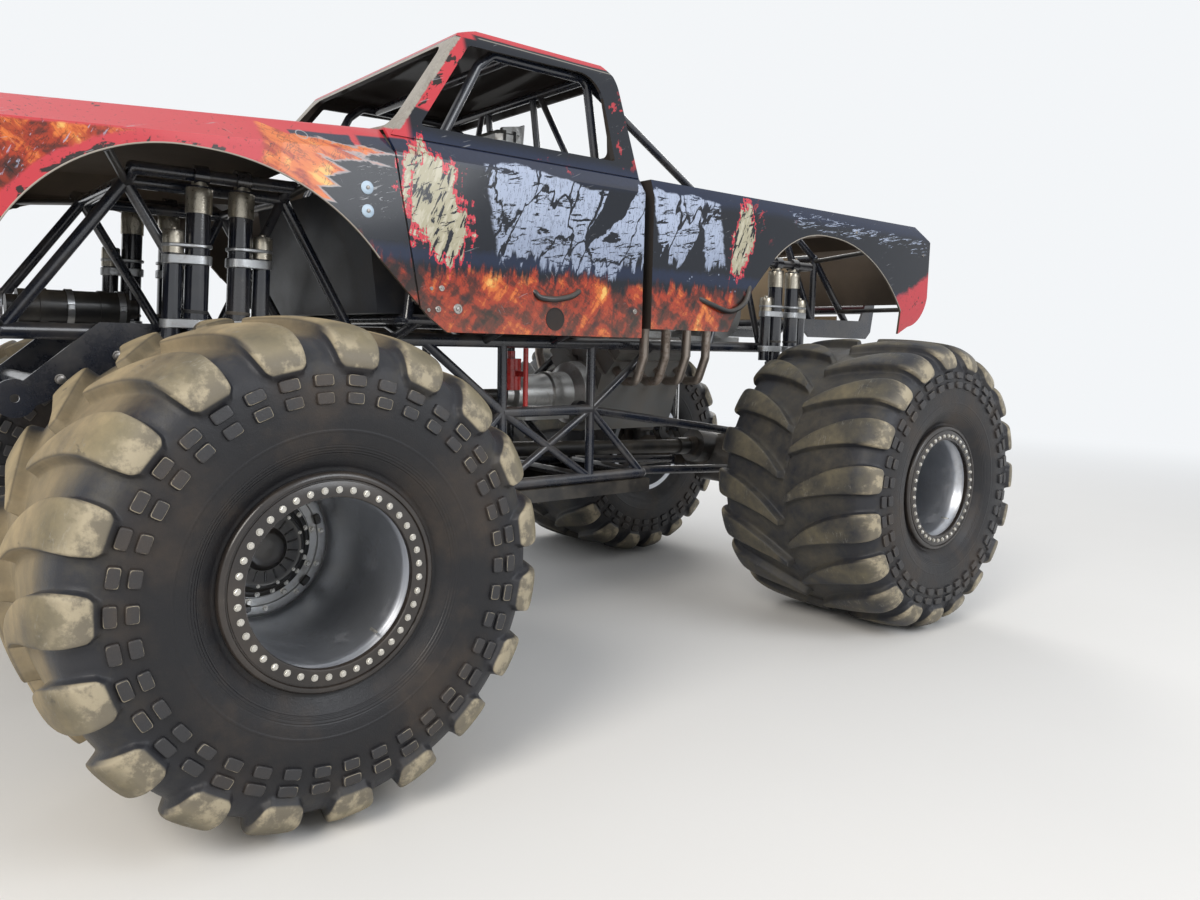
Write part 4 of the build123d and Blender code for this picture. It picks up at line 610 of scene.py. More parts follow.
# Places along the axle count from the wheel's middle plane
wheel = {
    "lockFace": 0.4963, "discAt": -0.198, "barrelSteps": 96, "lockSteps": 128, "hubSteps": 72,
    # Rings of bolts: head radius and height, how many, circle, place from the face or disc, first in degrees
    "lockBolts": (0.0088, 0.0085, 40, 0.2995, -0.0002, 4),
    "hubBolts": [(0.0105, 0.012, 10, 0.217, 0.0048, 9), (0.0085, 0.010, 12, 0.2485, 0.0108, 24),
                 (0.0075, 0.008, 20, 0.184, 0.0298, 3), (0.0055, 0.006, 12, 0.1395, 0.0915, 11)],
    "capRibs": 18, "discLugs": 6, "stemTurn": 140,
    "ring": (0.016, 0.013, 0.012), "barrel": (0.56, 0.58, 0.62), "grease": (0.022, 0.020, 0.018),
}


def barrelShape():
    # The deep outer barrel and the lip that faces out, as one closed turned wall
    outside = [(-0.488, 0.345), (-0.4706, 0.3455), (-0.4704, 0.3196), (-0.41, 0.3196), (-0.36, 0.298),
               (0.35, 0.284), (0.42, 0.3196), (0.4704, 0.3196)]
    inside = [(0.4704, 0.300), (0.452, 0.2965), (0.436, 0.291), (0.425, 0.2815), (0.405, 0.2755),
              (0.350, 0.2735), (0.100, 0.2735), (-0.355, 0.284), (-0.405, 0.3075), (-0.480, 0.3075),
              (-0.488, 0.312)]
    return turnProfile(outside + inside, wheel["barrelSteps"])


def lockRingShape():
    # Bead lock ring: flat bolted face, a step, and a rounded outer lip over the bead
    face = wheel["lockFace"]
    profile = [(0.4706, 0.276), (face - 0.012, 0.274), (face - 0.003, 0.2755), (face, 0.279), (face, 0.324),
               (face - 0.0015, 0.3265), (face - 0.006, 0.3275), (face - 0.0065, 0.331),
               (face - 0.0005, 0.3345), (face + 0.0005, 0.3395), (face - 0.0010, 0.3465),
               (face - 0.0050, 0.3525), (face - 0.0130, 0.3558), (0.4755, 0.3560), (0.4708, 0.3535)]
    return turnProfile(profile[::-1], wheel["lockSteps"])


def discShape():
    # Centre disc set deep in the barrel, with a raised pale outer band
    at = wheel["discAt"]
    profile = [(at - 0.011, 0.150), (at - 0.011, 0.2745), (at + 0.004, 0.2745), (at + 0.009, 0.270),
               (at + 0.011, 0.262), (at + 0.011, 0.236), (at + 0.005, 0.232), (at + 0.005, 0.205),
               (at + 0.010, 0.200), (at + 0.010, 0.150)]
    return turnProfile(profile, wheel["barrelSteps"])


def hubShape():
    # Planetary hub: stepped drum with a flange, a ring gear band, and a domed cap
    at = wheel["discAt"]
    back = at - 0.078
    drum = [(back, 0.094), (back, 0.146), (back + 0.010, 0.150), (at - 0.042, 0.177), (at - 0.036, 0.178),
            (at + 0.012, 0.178), (at + 0.014, 0.192), (at + 0.026, 0.194), (at + 0.030, 0.188),
            (at + 0.031, 0.176), (at + 0.040, 0.174), (at + 0.046, 0.168), (at + 0.050, 0.158),
            (at + 0.084, 0.150), (at + 0.090, 0.146), (at + 0.093, 0.136), (at + 0.090, 0.128),
            (at + 0.094, 0.112), (at + 0.092, 0.082), (at + 0.098, 0.074), (at + 0.112, 0.068),
            (at + 0.119, 0.058), (at + 0.1215, 0.030), (at + 0.1218, 0.0015)]
    return turnProfile(drum, wheel["hubSteps"], closed=False)


def capRib(long, wide, high):
    # Short rib with a rounded back: an arch outline carried along its length
    t = np.linspace(0, math.pi, 7)
    outline = np.stack([high * np.sin(t), wide / 2 * np.cos(t)], -1)
    run = np.array([-0.5, -0.42, 0.42, 0.5]) * long
    size = np.array([0.2, 1.0, 1.0, 0.2])
    points = np.stack([outline[None, :, 0] * size[:, None], outline[None, :, 1] * np.ones((4, 1)),
                       run[:, None] * np.ones((1, 7))], -1)
    return points.reshape(-1, 3), [gridFaces(4, 7, False, False)[:, ::-1]]


def boxShape(low, high, round=0.0):
    # Box between two corners with its edges cut back by round
    low, high = np.array(low, float), np.array(high, float)
    signs = np.array([(-1, -1), (1, -1), (1, 1), (-1, 1)])
    centre, half = (low + high) / 2, (high - low) / 2
    r = min(round, *(half * 0.9)) if round else 0.0
    rows = []
    for z, inset in ((-half[2], r), (-half[2] + r, 0.0), (half[2] - r, 0.0), (half[2], r)):
        ring = []
        for sx, sy in signs:
            a = (sx * (half[0] - inset), sy * (half[1] - r - inset))
            b = (sx * (half[0] - r - inset), sy * (half[1] - inset))
            ring += [a, b] if sx * sy > 0 else [b, a]
        rows.append([(x, y, z) for x, y in ring])
    points = np.array(rows).reshape(-1, 3) + centre
    caps = [np.arange(8)[::-1][None], np.arange(24, 32)[None]]
    return points, [gridFaces(4, 8, False, True)] + caps


def metalFinish(name, colour, rough=0.35, scratch=0.5, dirt=(0.20, 0.16, 0.12), dirtShare=0.35,
                grainStretch=(1, 1, 1), metal=0.9, coarse=6.0):
    # Bare metal: fine brushed grain, cloudy dulling, and dirt that gathers in patches
    f = Finish(name)
    cloud = f.noise(coarse, 6, 0.62)
    grain = f.noise(220, 3, 0.6, stretch=grainStretch)
    spots = f.noise(45, 4, 0.6, shift=(2, 5, 1))
    dull = (cloud - 0.5) * 0.8 + (grain - 0.5) * scratch
    dirtMask = (cloud * 0.7 + spots * 0.5).ramp(0.60, 0.80) * dirtShare
    tone = f.mix((dull + 0.5).clamp(), [c * 0.72 for c in colour], [min(1, c * 1.18) for c in colour])
    f.bump(grain, 0.0008, 0.4)
    rough = (rough + (grain - 0.5) * 0.25 + dirtMask * 0.5).clamp()
    return f.done(f.layers(tone, (dirtMask, dirt)), rough=rough, metal=(metal - dirtMask * 0.8).clamp())


def paintedFinish(name, colour, rough=0.32, dust=(0.30, 0.25, 0.19), dustShare=0.45, chip=(0.32, 0.30, 0.27),
                  chipShare=0.35, coat=0.25, metal=0.0, upDust=0.5):
    # Painted metal: slight orange peel, dust that lies on what faces up, small chips
    f = Finish(name, coat=coat, coatRough=0.15)
    cloud = f.noise(5, 6, 0.62)
    spots = f.noise(60, 5, 0.65, shift=(4, 2, 7))
    peel = f.noise(300, 2, 0.5)
    up = f.facing()[2].ramp(0.1, 0.95)
    dustMask = ((cloud.ramp(0.38, 0.72) * 0.55 + up * upDust) * (0.55 + spots * 0.8) * dustShare).clamp()
    chips = (spots.ramp(0.66, 0.72) * cloud.ramp(0.48, 0.62)) * chipShare
    f.bump(peel * 0.3 + spots * 0.7, 0.0012, 0.3)
    rough = (rough + dustMask * 0.55 + (spots - 0.5) * 0.1).clamp()
    return f.done(f.layers(colour, (chips, chip), (dustMask, dust)), rough=rough, metal=metal)


barrelMetal = metalFinish("spunWheelMetal", wheel["barrel"], 0.36, 0.35, dirtShare=0.22,
                          grainStretch=(1, 0.02, 0.02))
lockPaint = paintedFinish("lockRingPaint", wheel["ring"], 0.28, dust=(0.13, 0.10, 0.075), dustShare=0.35,
                          upDust=0.2)
boltMetal = metalFinish("platedBolts", (0.62, 0.60, 0.55), 0.28, 0.2, dirtShare=0.2, coarse=30)
hubGrease = paintedFinish("greasyHub", wheel["grease"], 0.30, dust=(0.11, 0.085, 0.06), dustShare=0.55,
                          upDust=0.3, coat=0.5)
discPaint = metalFinish("paleDisc", (0.55, 0.55, 0.54), 0.42, 0.3, dirtShare=0.35)


def boltRing(ring, at):
    # One ring of bolts, standing along the axle from the face at
    headRadius, headHeight, count, circle, off, first = ring
    return spread(boltHead(headRadius, headHeight), ringPlaces(count, circle, at + off, math.radians(first)))


def wheelPieces():
    at, face = wheel["discAt"], wheel["lockFace"]
    ribs = spread(capRib(0.040, 0.009, 0.008), ringPlaces(wheel["capRibs"], 0.104, at + 0.090))
    discLugs = spread(boxShape((-0.004, -0.020, -0.014), (0.020, 0.020, 0.014), 0.005),
                      ringPlaces(wheel["discLugs"], 0.2400, at + 0.006, math.radians(12)))
    # Valve stem on the barrel, near the lip
    stem = turnProfile([(0.0, 0.0055), (0.035, 0.005), (0.037, 0.0035), (0.044, 0.0035), (0.044, 0.0004)], 14,
                       closed=False)
    stem = spread(stem, ringPlaces(1, 0.262, 0.405, math.radians(wheel["stemTurn"])))
    return [
        ("barrel", barrelShape(), barrelMetal, 30.0), ("lockRing", lockRingShape(), lockPaint, 35.0),
        ("lockBolts", gather([boltRing(wheel["lockBolts"], face), stem]), boltMetal, 40.0),
        ("disc", discShape(), discPaint, 35.0),
        ("hub", gather([hubShape(), ribs, discLugs]), hubGrease, 35.0),
        ("hubBolts", gather([boltRing(ring, at) for ring in wheel["hubBolts"]]), boltMetal, 40.0)]


for spotName, sideX, sideY in wheelSpots:
    for pieceName, shape, material, smoothAngle in wheelPieces():
        points, faces = atWheel(shape, sideX, sideY)
        piece = putMesh(f"{pieceName}_{spotName}", points, faces, "wheel_" + spotName, material,
                        smoothAngle)
        if pieceName == "barrel":
            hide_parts("rim_" + spotName)
print("wheels done")


def finishNode(name, material, smoothAngle=32.0):
    # The node's loose triangles are joined and shaded by modifiers alone; its mesh stays as it is
    node = nodes[name]
    node.data.materials.clear()
    node.data.materials.append(material)
    weld = node.modifiers.new("weld", "WELD")
    weld.merge_threshold = 0.00002
    edges = node.modifiers.new("edges", "EDGE_SPLIT")
    edges.split_angle = math.radians(smoothAngle)
    node.data.polygons.foreach_set("use_smooth", np.ones(len(node.data.polygons), bool))
    node.data.update()


# Where the photograph was taken from; angles in degrees, lens in mm
camera = {"place": (4.4139, -2.9891, 1.604), "azimuth": 49.989, "elevation": 6.550, "roll": 1.279,
          "lens": 27.455, "sensor": 36.0, "farthest": 200.0}


def setCamera():
    azimuth, elevation, roll = [math.radians(camera[k]) for k in ("azimuth", "elevation", "roll")]
    level = math.cos(elevation)
    back = Vector((math.sin(azimuth) * level, -math.cos(azimuth) * level, math.sin(elevation)))
    right = (-back).cross(Vector((0, 0, 1))).normalized()
    up = right.cross(-back)
    turnedRight = right * math.cos(roll) + up * math.sin(roll)
    turnedUp = up * math.cos(roll) - right * math.sin(roll)
    data = bpy.data.cameras.new("mainCamera")
    data.lens = camera["lens"]
    data.sensor_width = camera["sensor"]
    data.clip_end = camera["farthest"]
    holder = bpy.data.objects.new("mainCamera", data)
    scene.collection.objects.link(holder)
    matrix = Matrix((turnedRight, turnedUp, back)).transposed().to_4x4()
    matrix.translation = Vector(camera["place"])
    holder.matrix_world = matrix
    scene.camera = holder


# The floor fades into the backdrop between two distances; lamps: place, aim, size, power in watts, colour
studio = {"floor": (0.80, 0.79, 0.77), "floorShade": (0.74, 0.72, 0.69), "sky": (0.86, 0.89, 0.93),
          "fill": 0.62, "backdrop": (0.90, 0.92, 0.94), "fade": (5.0, 16.0), "floorReach": 60.0,
          "lamps": [("key", (5.5, -9.5, 7.5), (0.0, 0.0, 1.2), 6.0, 900.0, (1.0, 0.95, 0.88)),
                    ("side", (9.5, 2.5, 6.0), (0.0, 0.3, 1.3), 6.0, 420.0, (0.93, 0.96, 1.0)),
                    ("back", (-7.0, 8.0, 7.0), (0.0, 0.0, 1.5), 6.0, 420.0, (1.0, 0.98, 0.95))]}


def mathNode(tree, operation, first, second):
    node = tree.nodes.new("ShaderNodeMath")
    node.operation = operation
    tree.links.new(first, node.inputs[0])
    tree.links.new(second, node.inputs[1])
    return node.outputs[0]


def seenRays(tree):
    # 1 for the rays that see the white backdrop: camera, glossy and transmission rays
    path = tree.nodes.new("ShaderNodeLightPath").outputs
    shine = mathNode(tree, "MAXIMUM", path["Is Glossy Ray"], path["Is Transmission Ray"])
    return mathNode(tree, "MAXIMUM", path["Is Camera Ray"], shine)


def setStudio():
    floorMesh = bpy.data.meshes.new("floor")
    reach = studio["floorReach"]
    corners = [(-reach, -reach, 0), (reach, -reach, 0), (reach, reach, 0), (-reach, reach, 0)]
    floorMesh.from_pydata(corners, [], [(0, 1, 2, 3)])
    floor = bpy.data.objects.new("floor", floorMesh)
    scene.collection.objects.link(floor)
    f = Finish("paleFloor", rough=0.9, specular=0.2)
    floorMesh.materials.append(f.done(f.mix(f.noise(1.5, 5) * 0.25, studio["floor"], studio["floorShade"])))
    away = (f.x * f.x + f.y * f.y).math("SQRT").ramp(*studio["fade"])
    glow = f.tree.nodes.new("ShaderNodeEmission")
    glow.inputs["Color"].default_value = (*studio["backdrop"], 1)
    fade = f.tree.nodes.new("ShaderNodeMixShader")
    f.tree.links.new(mathNode(f.tree, "MULTIPLY", away.socket, seenRays(f.tree)), fade.inputs[0])
    f.tree.links.new(f.shader.outputs[0], fade.inputs[1])
    f.tree.links.new(glow.outputs[0], fade.inputs[2])
    f.tree.links.new(fade.outputs[0], f.tree.nodes["Material Output"].inputs["Surface"])
    world = bpy.data.worlds.new("studio")
    world.use_nodes = True
    scene.world = world
    tree = world.node_tree
    tree.nodes.clear()
    fill = tree.nodes.new("ShaderNodeBackground")
    fill.inputs["Color"].default_value = (*studio["sky"], 1)
    fill.inputs["Strength"].default_value = studio["fill"]
    plain = tree.nodes.new("ShaderNodeBackground")
    plain.inputs["Color"].default_value = (*studio["backdrop"], 1)
    plain.inputs["Strength"].default_value = 1.0
    choose = tree.nodes.new("ShaderNodeMixShader")
    tree.links.new(seenRays(tree), choose.inputs[0])
    tree.links.new(fill.outputs[0], choose.inputs[1])
    tree.links.new(plain.outputs[0], choose.inputs[2])
    out = tree.nodes.new("ShaderNodeOutputWorld")
    tree.links.new(choose.outputs[0], out.inputs[0])
    for name, place, aim, size, power, colour in studio["lamps"]:
        data = bpy.data.lights.new(name, "AREA")
        data.shape = "DISK"
        data.size = size
        data.energy = power
        data.color = colour
        lamp = bpy.data.objects.new(name, data)
        scene.collection.objects.link(lamp)
        lamp.location = place
        lamp.rotation_mode = "QUATERNION"
        lamp.rotation_quaternion = (Vector(aim) - Vector(place)).to_track_quat("-Z", "Y")


# The body's paint: colours, then places on its sides, where y runs from nose to tail and z up, in metres
body = {
    "black": (0.0060, 0.0085, 0.0150), "navy": (0.012, 0.022, 0.058), "red": (0.50, 0.036, 0.050),
    "roseRed": (0.56, 0.058, 0.070), "soot": (0.020, 0.012, 0.011), "brownRed": (0.105, 0.022, 0.015),
    "ember": (0.36, 0.042, 0.018), "flame": (0.66, 0.17, 0.040), "yellow": (0.80, 0.47, 0.13),
    "pale": (0.40, 0.46, 0.60), "paleShade": (0.20, 0.24, 0.34), "bone": (0.40, 0.37, 0.26),
    "boneLight": (0.56, 0.53, 0.42), "outline": (0.60, 0.040, 0.065), "beige": (0.37, 0.345, 0.30),
    "wornBeige": (0.19, 0.17, 0.145), "scuff": (0.34, 0.35, 0.37), "shellInside": (0.130, 0.098, 0.070),
    "insideDark": (0.030, 0.024, 0.020), "roadDust": (0.32, 0.26, 0.20),
    "crease": (2.956, 0.0620, 2.243),  # start ahead of the middle, rise per metre, height at the start
    "arch": (2.004, 1.605, 0.6566),  # front arch: middle ahead of the truck's middle, height, radius
    "screenEdge": (1.205, 0.790, 2.43, 0.613),  # line up the windscreen pillar: y, its share, z, its share
    "noseFace": (-2.930, -2.942),
    # Flames that end in a tip towards the rear: y and z of the tip, rise and half spread per metre ahead
    "flames": [(-1.185, 2.342, -0.02, 0.09), (-1.235, 2.292, 0.10, 0.13), (-1.405, 2.250, 0.05, 0.36),
               (-1.445, 2.190, 0.25, 0.34), (-1.462, 2.128, 0.42, 0.36)],
    "flameFront": -1.74,
    # Torn bone-coloured patches: y and z of the middle, half width, half height, lean
    "plumes": [(-1.025, 2.175, 0.150, 0.235, -0.25), (0.885, 2.185, 0.082, 0.200, 0.20)],
    # Lengths of the cracked pale band: both ends, foot, top, and the two y between which it is cut off
    "bandParts": [(-0.315, 0.70, 2.10, 2.505, 0.16, 0.15), (0.68, 1.16, 2.14, 2.515, 0.20, 0.21)],
    # Red flecks on the sill, the pillar and the bed: two fleck levels, then from, to and softness in y and z
    "flecks": [(0.585, 0.625, -0.50, -0.22, 0.05, 2.395, 2.47, 0.015),
               (0.570, 0.605, 0.02, 0.20, 0.03, 2.48, 2.86, 0.06),
               (0.60, 0.64, 0.95, 1.30, 0.08, 2.22, 2.42, 0.05)],
    "ring": (-1.574, 2.372), "ringRadius": 0.019,
}


def bodyFinish():
    # One paint scheme laid out along the truck: y from nose to tail, z from sill to roof
    f = Finish("paintedBodyShell", coat=0.15, coatRough=0.08, specular=0.32)
    y, z = f.y, f.z
    flat = (0.0, 1.0, 1.0)

    def strokes(scale, angle, slim, shift=(0, 0, 0), bend=0.3, detail=5.0):
        # Brush-like noise, long along a line at angle to the truck's length and 1 / slim as wide
        return f.noise(scale, detail, 0.62, stretch=(0, 1, slim), shift=shift, bend=bend, turn=(angle, 0, 0))

    ragged = f.noise(5.5, 8, 0.68, bend=0.6) - 0.5
    shred = strokes(6.5, -12, 4.5, (1, 2, 0)) - 0.5
    upright = strokes(5.0, 84, 6.0, (4, 0, 1)) - 0.5
    cloud = f.noise(2.4, 6, 0.6, shift=(3, 1, 4))
    speck = f.noise(70, 5, 0.7)
    grain = f.noise(240, 3, 0.6)
    creaseStart, creaseRise, creaseLevel = body["crease"]
    overCrease = z - ((y + creaseStart) * creaseRise + creaseLevel)

    # Embers: soot and rocks with glowing strokes between them, brightest in small places
    heat = f.noise(3.6, 7, 0.66, stretch=flat, shift=(0, 2, 5), bend=0.8)
    rising = strokes(3.4, 56, 3.2, (2, 1, 0))
    falling = strokes(4.2, -34, 3.6, (6, 3, 2))
    glow = (heat * 0.95 + rising * 0.80 + falling * 0.60 + speck * 0.14 - 0.83) * 1.25
    rocks = f.cells(5.5, stretch=(0, 1, 1.5), shift=(0, 5, 1), turn=(30, 0, 0)) + ragged * 0.25
    cracks = (falling - 0.5).size().ramp(0.012, 0.0).high((rising - 0.52).size().ramp(0.010, 0.0))

    def fire(level):
        # Colour of the embers for one brightness
        return f.layers(body["soot"], (level.ramp(0.30, 0.42), body["brownRed"]),
                        (level.ramp(0.43, 0.56), body["ember"]), (level.ramp(0.58, 0.72), body["flame"]),
                        (level.ramp(0.74, 0.86), body["yellow"]), (cracks * 0.6, body["soot"]))

    lowEdge = z + upright * 0.26 + ragged * 0.10
    low = lowEdge.ramp(1.93, 1.87) * y.ramp(1.12, 1.02)
    front = (lowEdge + (y + 1.16) * 0.4).ramp(1.92, 1.86) * y.ramp(-1.08, -1.12)
    emberShare = low.high(front) * (rocks.ramp(0.08, 0.20) * 0.8 + 0.2)

    # Flames on the front fender, over a red band that follows the crease
    tips = []
    for tipY, tipZ, rise, spreading in body["flames"]:
        ahead = y * -1.0 + tipY
        wide = ahead * spreading - (z - tipZ - ahead * rise).size()
        tips.append(wide + shred * 0.10 * ahead.ramp(0.0, 0.12))
    tips = reduce(Value.high, tips)
    flameFront = (y + ragged * 0.10).ramp(body["flameFront"] - 0.01, body["flameFront"] + 0.02)
    flames = tips.ramp(-0.002, 0.004) * flameFront
    flameHeat = heat * 0.35 + strokes(7, -24, 4.0, (3, 8, 1)) * 0.75 + falling * 0.25 - 0.02
    flameColour = fire(flameHeat + between(y, -1.56, -1.44, 0.06) * 0.12)
    tipEdge = between(tips, -0.002, 0.007, 0.002) * y.ramp(-1.60, -1.50)

    # Red on what faces up, and down to the front arch, with dark torn places
    fleck = strokes(7, 40, 2.0, (0, 7, 2))
    isClip = y.ramp(-1.10, -1.14)
    noseFace = y.ramp(*body["noseFace"])
    bandLow = y.ramp(-1.66, -1.72) * 0.40 + (y + 1.45) * 0.02
    clipRed = (overCrease + bandLow + ragged * 0.05 + shred * 0.03).ramp(-0.004, 0.008) * isClip
    midDark = (between(y + shred * 0.05, -1.625, -1.375, 0.006)
               * between(overCrease + ragged * 0.012, 0.004, 0.060, 0.004))
    rearDark = y.ramp(-1.36, -1.34) * overCrease.ramp(0.070, 0.060) * isClip
    archAhead, archLevel, archRadius = body["arch"]
    archY, archZ = y + archAhead, z - archLevel
    archGap = (archY * archY + archZ * archZ).math("SQRT") - archRadius
    noseFray = shred * 0.18 + ragged * 0.16
    noseDark = ((y + noseFray).ramp(-2.12, -2.20) * (overCrease + ragged * 0.02).ramp(0.0, -0.012)
                * (archGap + ragged * 0.05).ramp(0.035, 0.050))
    darkPatch = midDark.high(rearDark).high(noseDark)
    edgeChips = (between(archGap + shred * 0.05, -0.02, 0.016, 0.002) * fleck.ramp(0.53, 0.56) * isClip
                 * y.ramp(-1.30, -1.40))
    roofEdge = z + ragged * 0.012
    roofRed = roofEdge.ramp(2.962, 2.970).high(roofEdge.ramp(2.934, 2.940) * y.ramp(-0.70, -0.73))
    gutter = between(z, 2.949, 2.955, 0.001) * y.ramp(-0.70, -0.68)
    tailEdge = z * -1.0 + 2.02 + ragged * 0.16 + (y - 2.55) * 0.5
    tailRed = tailEdge.ramp(-0.02, 0.03) * y.ramp(2.34, 2.44)
    flecks = reduce(Value.high, [
        fleck.ramp(few, many) * between(y, fromY, toY, softY) * between(z, fromZ, toZ, softZ)
        for few, many, fromY, toY, softY, fromZ, toZ, softZ in body["flecks"]])
    redShare = (clipRed * darkPatch.inverse()).high(roofRed).high(tailRed).high(noseFace).high(flecks * 0.8)
    # painted highlight: a paler rose band just under the fender crease on the front clip, beside random rose
    # clouds
    redTone = f.layers(body["red"], ((cloud * 1.4 - 0.35).clamp() * 0.6, body["roseRed"]),
                       (between(overCrease, -0.020, 0.004, 0.012) * isClip * 0.45, body["roseRed"]))
    sideDark = noseDark * noseFace.inverse()
    noseEmber = sideDark * strokes(5, -52, 4.0, (1, 6, 4)).ramp(0.50, 0.60)
    noseScuff = sideDark * strokes(13, 62, 6.0, (8, 2, 1)).ramp(0.62, 0.64)
    allChips = edgeChips.high(speck.ramp(0.60, 0.64) * cloud.ramp(0.40, 0.60) + fleck.ramp(0.66, 0.68))
    chips = allChips.clamp() * redShare * z.ramp(2.45, 2.38)
    ringY, ringZ = y - body["ring"][0], z - body["ring"][1]
    ringGap = (ringY * ringY + ringZ * ringZ * 1.3).math("SQRT")
    ringShare = between(ringGap, body["ringRadius"], body["ringRadius"] + 0.004, 0.001)

    # Windscreen surround: worn beige, then a red strip down the pillar, then the dark door frame
    edgeY, shareY, edgeZ, shareZ = body["screenEdge"]
    behind = (y + edgeY) * shareY - (z - edgeZ) * shareZ
    beigeShare = ((behind + ragged * 0.05).ramp(0.022, 0.016) * z.ramp(2.452, 2.462) * y.ramp(-0.70, -0.75)
                  * z.ramp(2.936, 2.930))
    stripShare = (between(behind + ragged * 0.02, 0.018, 0.088, 0.003) * y.ramp(-0.76, -0.79)
                  * (z + shred * 0.08).ramp(2.56, 2.575))
    stripFleck = strokes(11, 35, 2.5, (1, 1, 4)).ramp(0.56, 0.59)
    beigeTone = f.mix((speck * 1.6 - 0.45 + ragged * 1.4).clamp(), body["beige"], body["wornBeige"])

    # Cracked pale band on the flanks in two lengths: broken into shards, torn across, brushed out below
    lean = y + z * 0.20 + ragged * 0.05 + shred * 0.05
    tops = f.noise(2.2, 2, 0.5, stretch=(0, 1, 0)) * 0.26
    foot = z + upright * 0.30 + tops - (y * 0.04)
    bandTop = z + tops + ragged * 0.06
    band = reduce(Value.high, [
        between(lean, first, last, 0.010) * foot.ramp(under, under + 0.03) * bandTop.ramp(over, over - 0.01)
        * y.ramp(cutFrom, cutTo) for first, last, under, over, cutFrom, cutTo in body["bandParts"]])
    tear = strokes(4.2, 9, 5.0, (2, 6, 3)) + speck * 0.08
    torn = between(tear, 0.440, 0.478, 0.006).high(tear.ramp(0.655, 0.665))
    apart, chance = f.shards(6.2, (0, 1, 0.42), (0, 0.15, 0.3), 0.13, (-26, 0, 0))
    shards = band * apart.ramp(0.020, 0.034) * chance.ramp(0.16, 0.18) * torn.inverse()
    hair = (strokes(9, 82, 7.0, (0, 3, 1)) - 0.5).size().ramp(0.004, 0.012)
    splatter = (f.cells(30, stretch=flat).ramp(0.16, 0.13)
                * f.noise(9, 3, stretch=flat, shift=(0, 5, 5)).ramp(0.56, 0.62)
                * between(z, 1.90, 2.16, 0.04) * between(y, -0.80, 1.0, 0.06))
    dashStrokes = between(strokes(5.5, 8, 9.0, (3, 1, 8)), 0.56, 0.60, 0.004)
    dashes = (dashStrokes.high(strokes(7, 10, 7.0, (1, 6, 2)).ramp(0.62, 0.63))
              * between(y + shred * 0.2, 1.32, 2.74, 0.02)
              * between(z - y * -0.045 + shred * 0.05, 2.375, 2.462, 0.006))
    paleShare = (shards * hair).high(splatter * 0.8).high(dashes * 0.9)
    # painted shade and dirt: the pale band gets darker towards its foot and in cloudy patches
    paleShadeAndDirt = (z.ramp(2.22, 2.02) * 0.45 + (cloud - 0.35) * 0.6).clamp()
    paleTone = f.mix(paleShadeAndDirt, body["pale"], body["paleShade"])

    # Torn bone-coloured plumes with a red rim
    reach = []
    for middleY, middleZ, halfWide, halfHigh, tilt in body["plumes"]:
        across = (y - middleY - (z - middleZ) * tilt) * (1 / halfWide)
        upward = (z - middleZ) * (1 / halfHigh)
        reach.append((across * across + upward * upward).math("SQRT"))
    reach = reduce(Value.low, reach) + upright * 1.5 + shred * 0.9 + ragged * 0.7
    boneShare = reach.ramp(0.90, 0.87)
    rimShare = between(reach, 0.90, 1.02, 0.015)
    inkA = strokes(7, 66, 5.5, (5, 1, 2))
    inkB = strokes(10, 20, 5.0, (1, 4, 2))
    boneTone = f.layers(body["bone"], (inkA.ramp(0.47, 0.40) * 0.7, body["boneLight"]),
                        (inkA.ramp(0.545, 0.565).high(inkB.ramp(0.60, 0.62)), body["black"]))

    # Worn places: scratches, dust and road dirt near the sill, and the inside of the shells, with painted
    # shade where it is hidden
    scratch = (strokes(6, 22, 16, (3, 3, 3), bend=0.1).ramp(0.665, 0.675) * cloud.ramp(0.45, 0.52)).high(
        strokes(9, -58, 14, (7, 3, 1), bend=0.1).ramp(0.665, 0.675) * cloud.ramp(0.55, 0.60))
    marks = (strokes(12, 14, 5, (2, 2, 9), bend=1.5).ramp(0.60, 0.61) * between(y, -1.36, -1.22, 0.02)
             * between(z, 2.10, 2.29, 0.02))
    facingX, facingY, up = f.facing()
    outward = facingX * f.x.math("SIGN")
    lengthwise = facingY * y.math("SIGN")
    inside = outward.ramp(-0.10, -0.30).high(up.ramp(-0.30, -0.50)).high(lengthwise.ramp(-0.40, -0.60))
    # painted shade: the shells' inside is darker in the gap between cab and bed and high inside the cab
    hiddenShade = between(y, 0.08, 0.26, 0.02).high(z.ramp(2.44, 2.47))
    insideTone = f.mix(cloud.high(hiddenShade), body["shellInside"], body["insideDark"])
    dust = ((up.ramp(0.2, 1.0) * 0.10 + z.ramp(1.90, 1.66) * 0.18)
            * (cloud * 0.9 + speck * 0.6 - 0.15)).clamp()
    navyHigh = between(z + cloud * 0.06, 2.385, 2.49, 0.03) * 0.8
    navyLow = between(z + upright * 0.05, 1.93, 1.99, 0.02) * 0.8
    navyShare = navyHigh.high(navyLow) * (speck * 0.8 + 0.5)

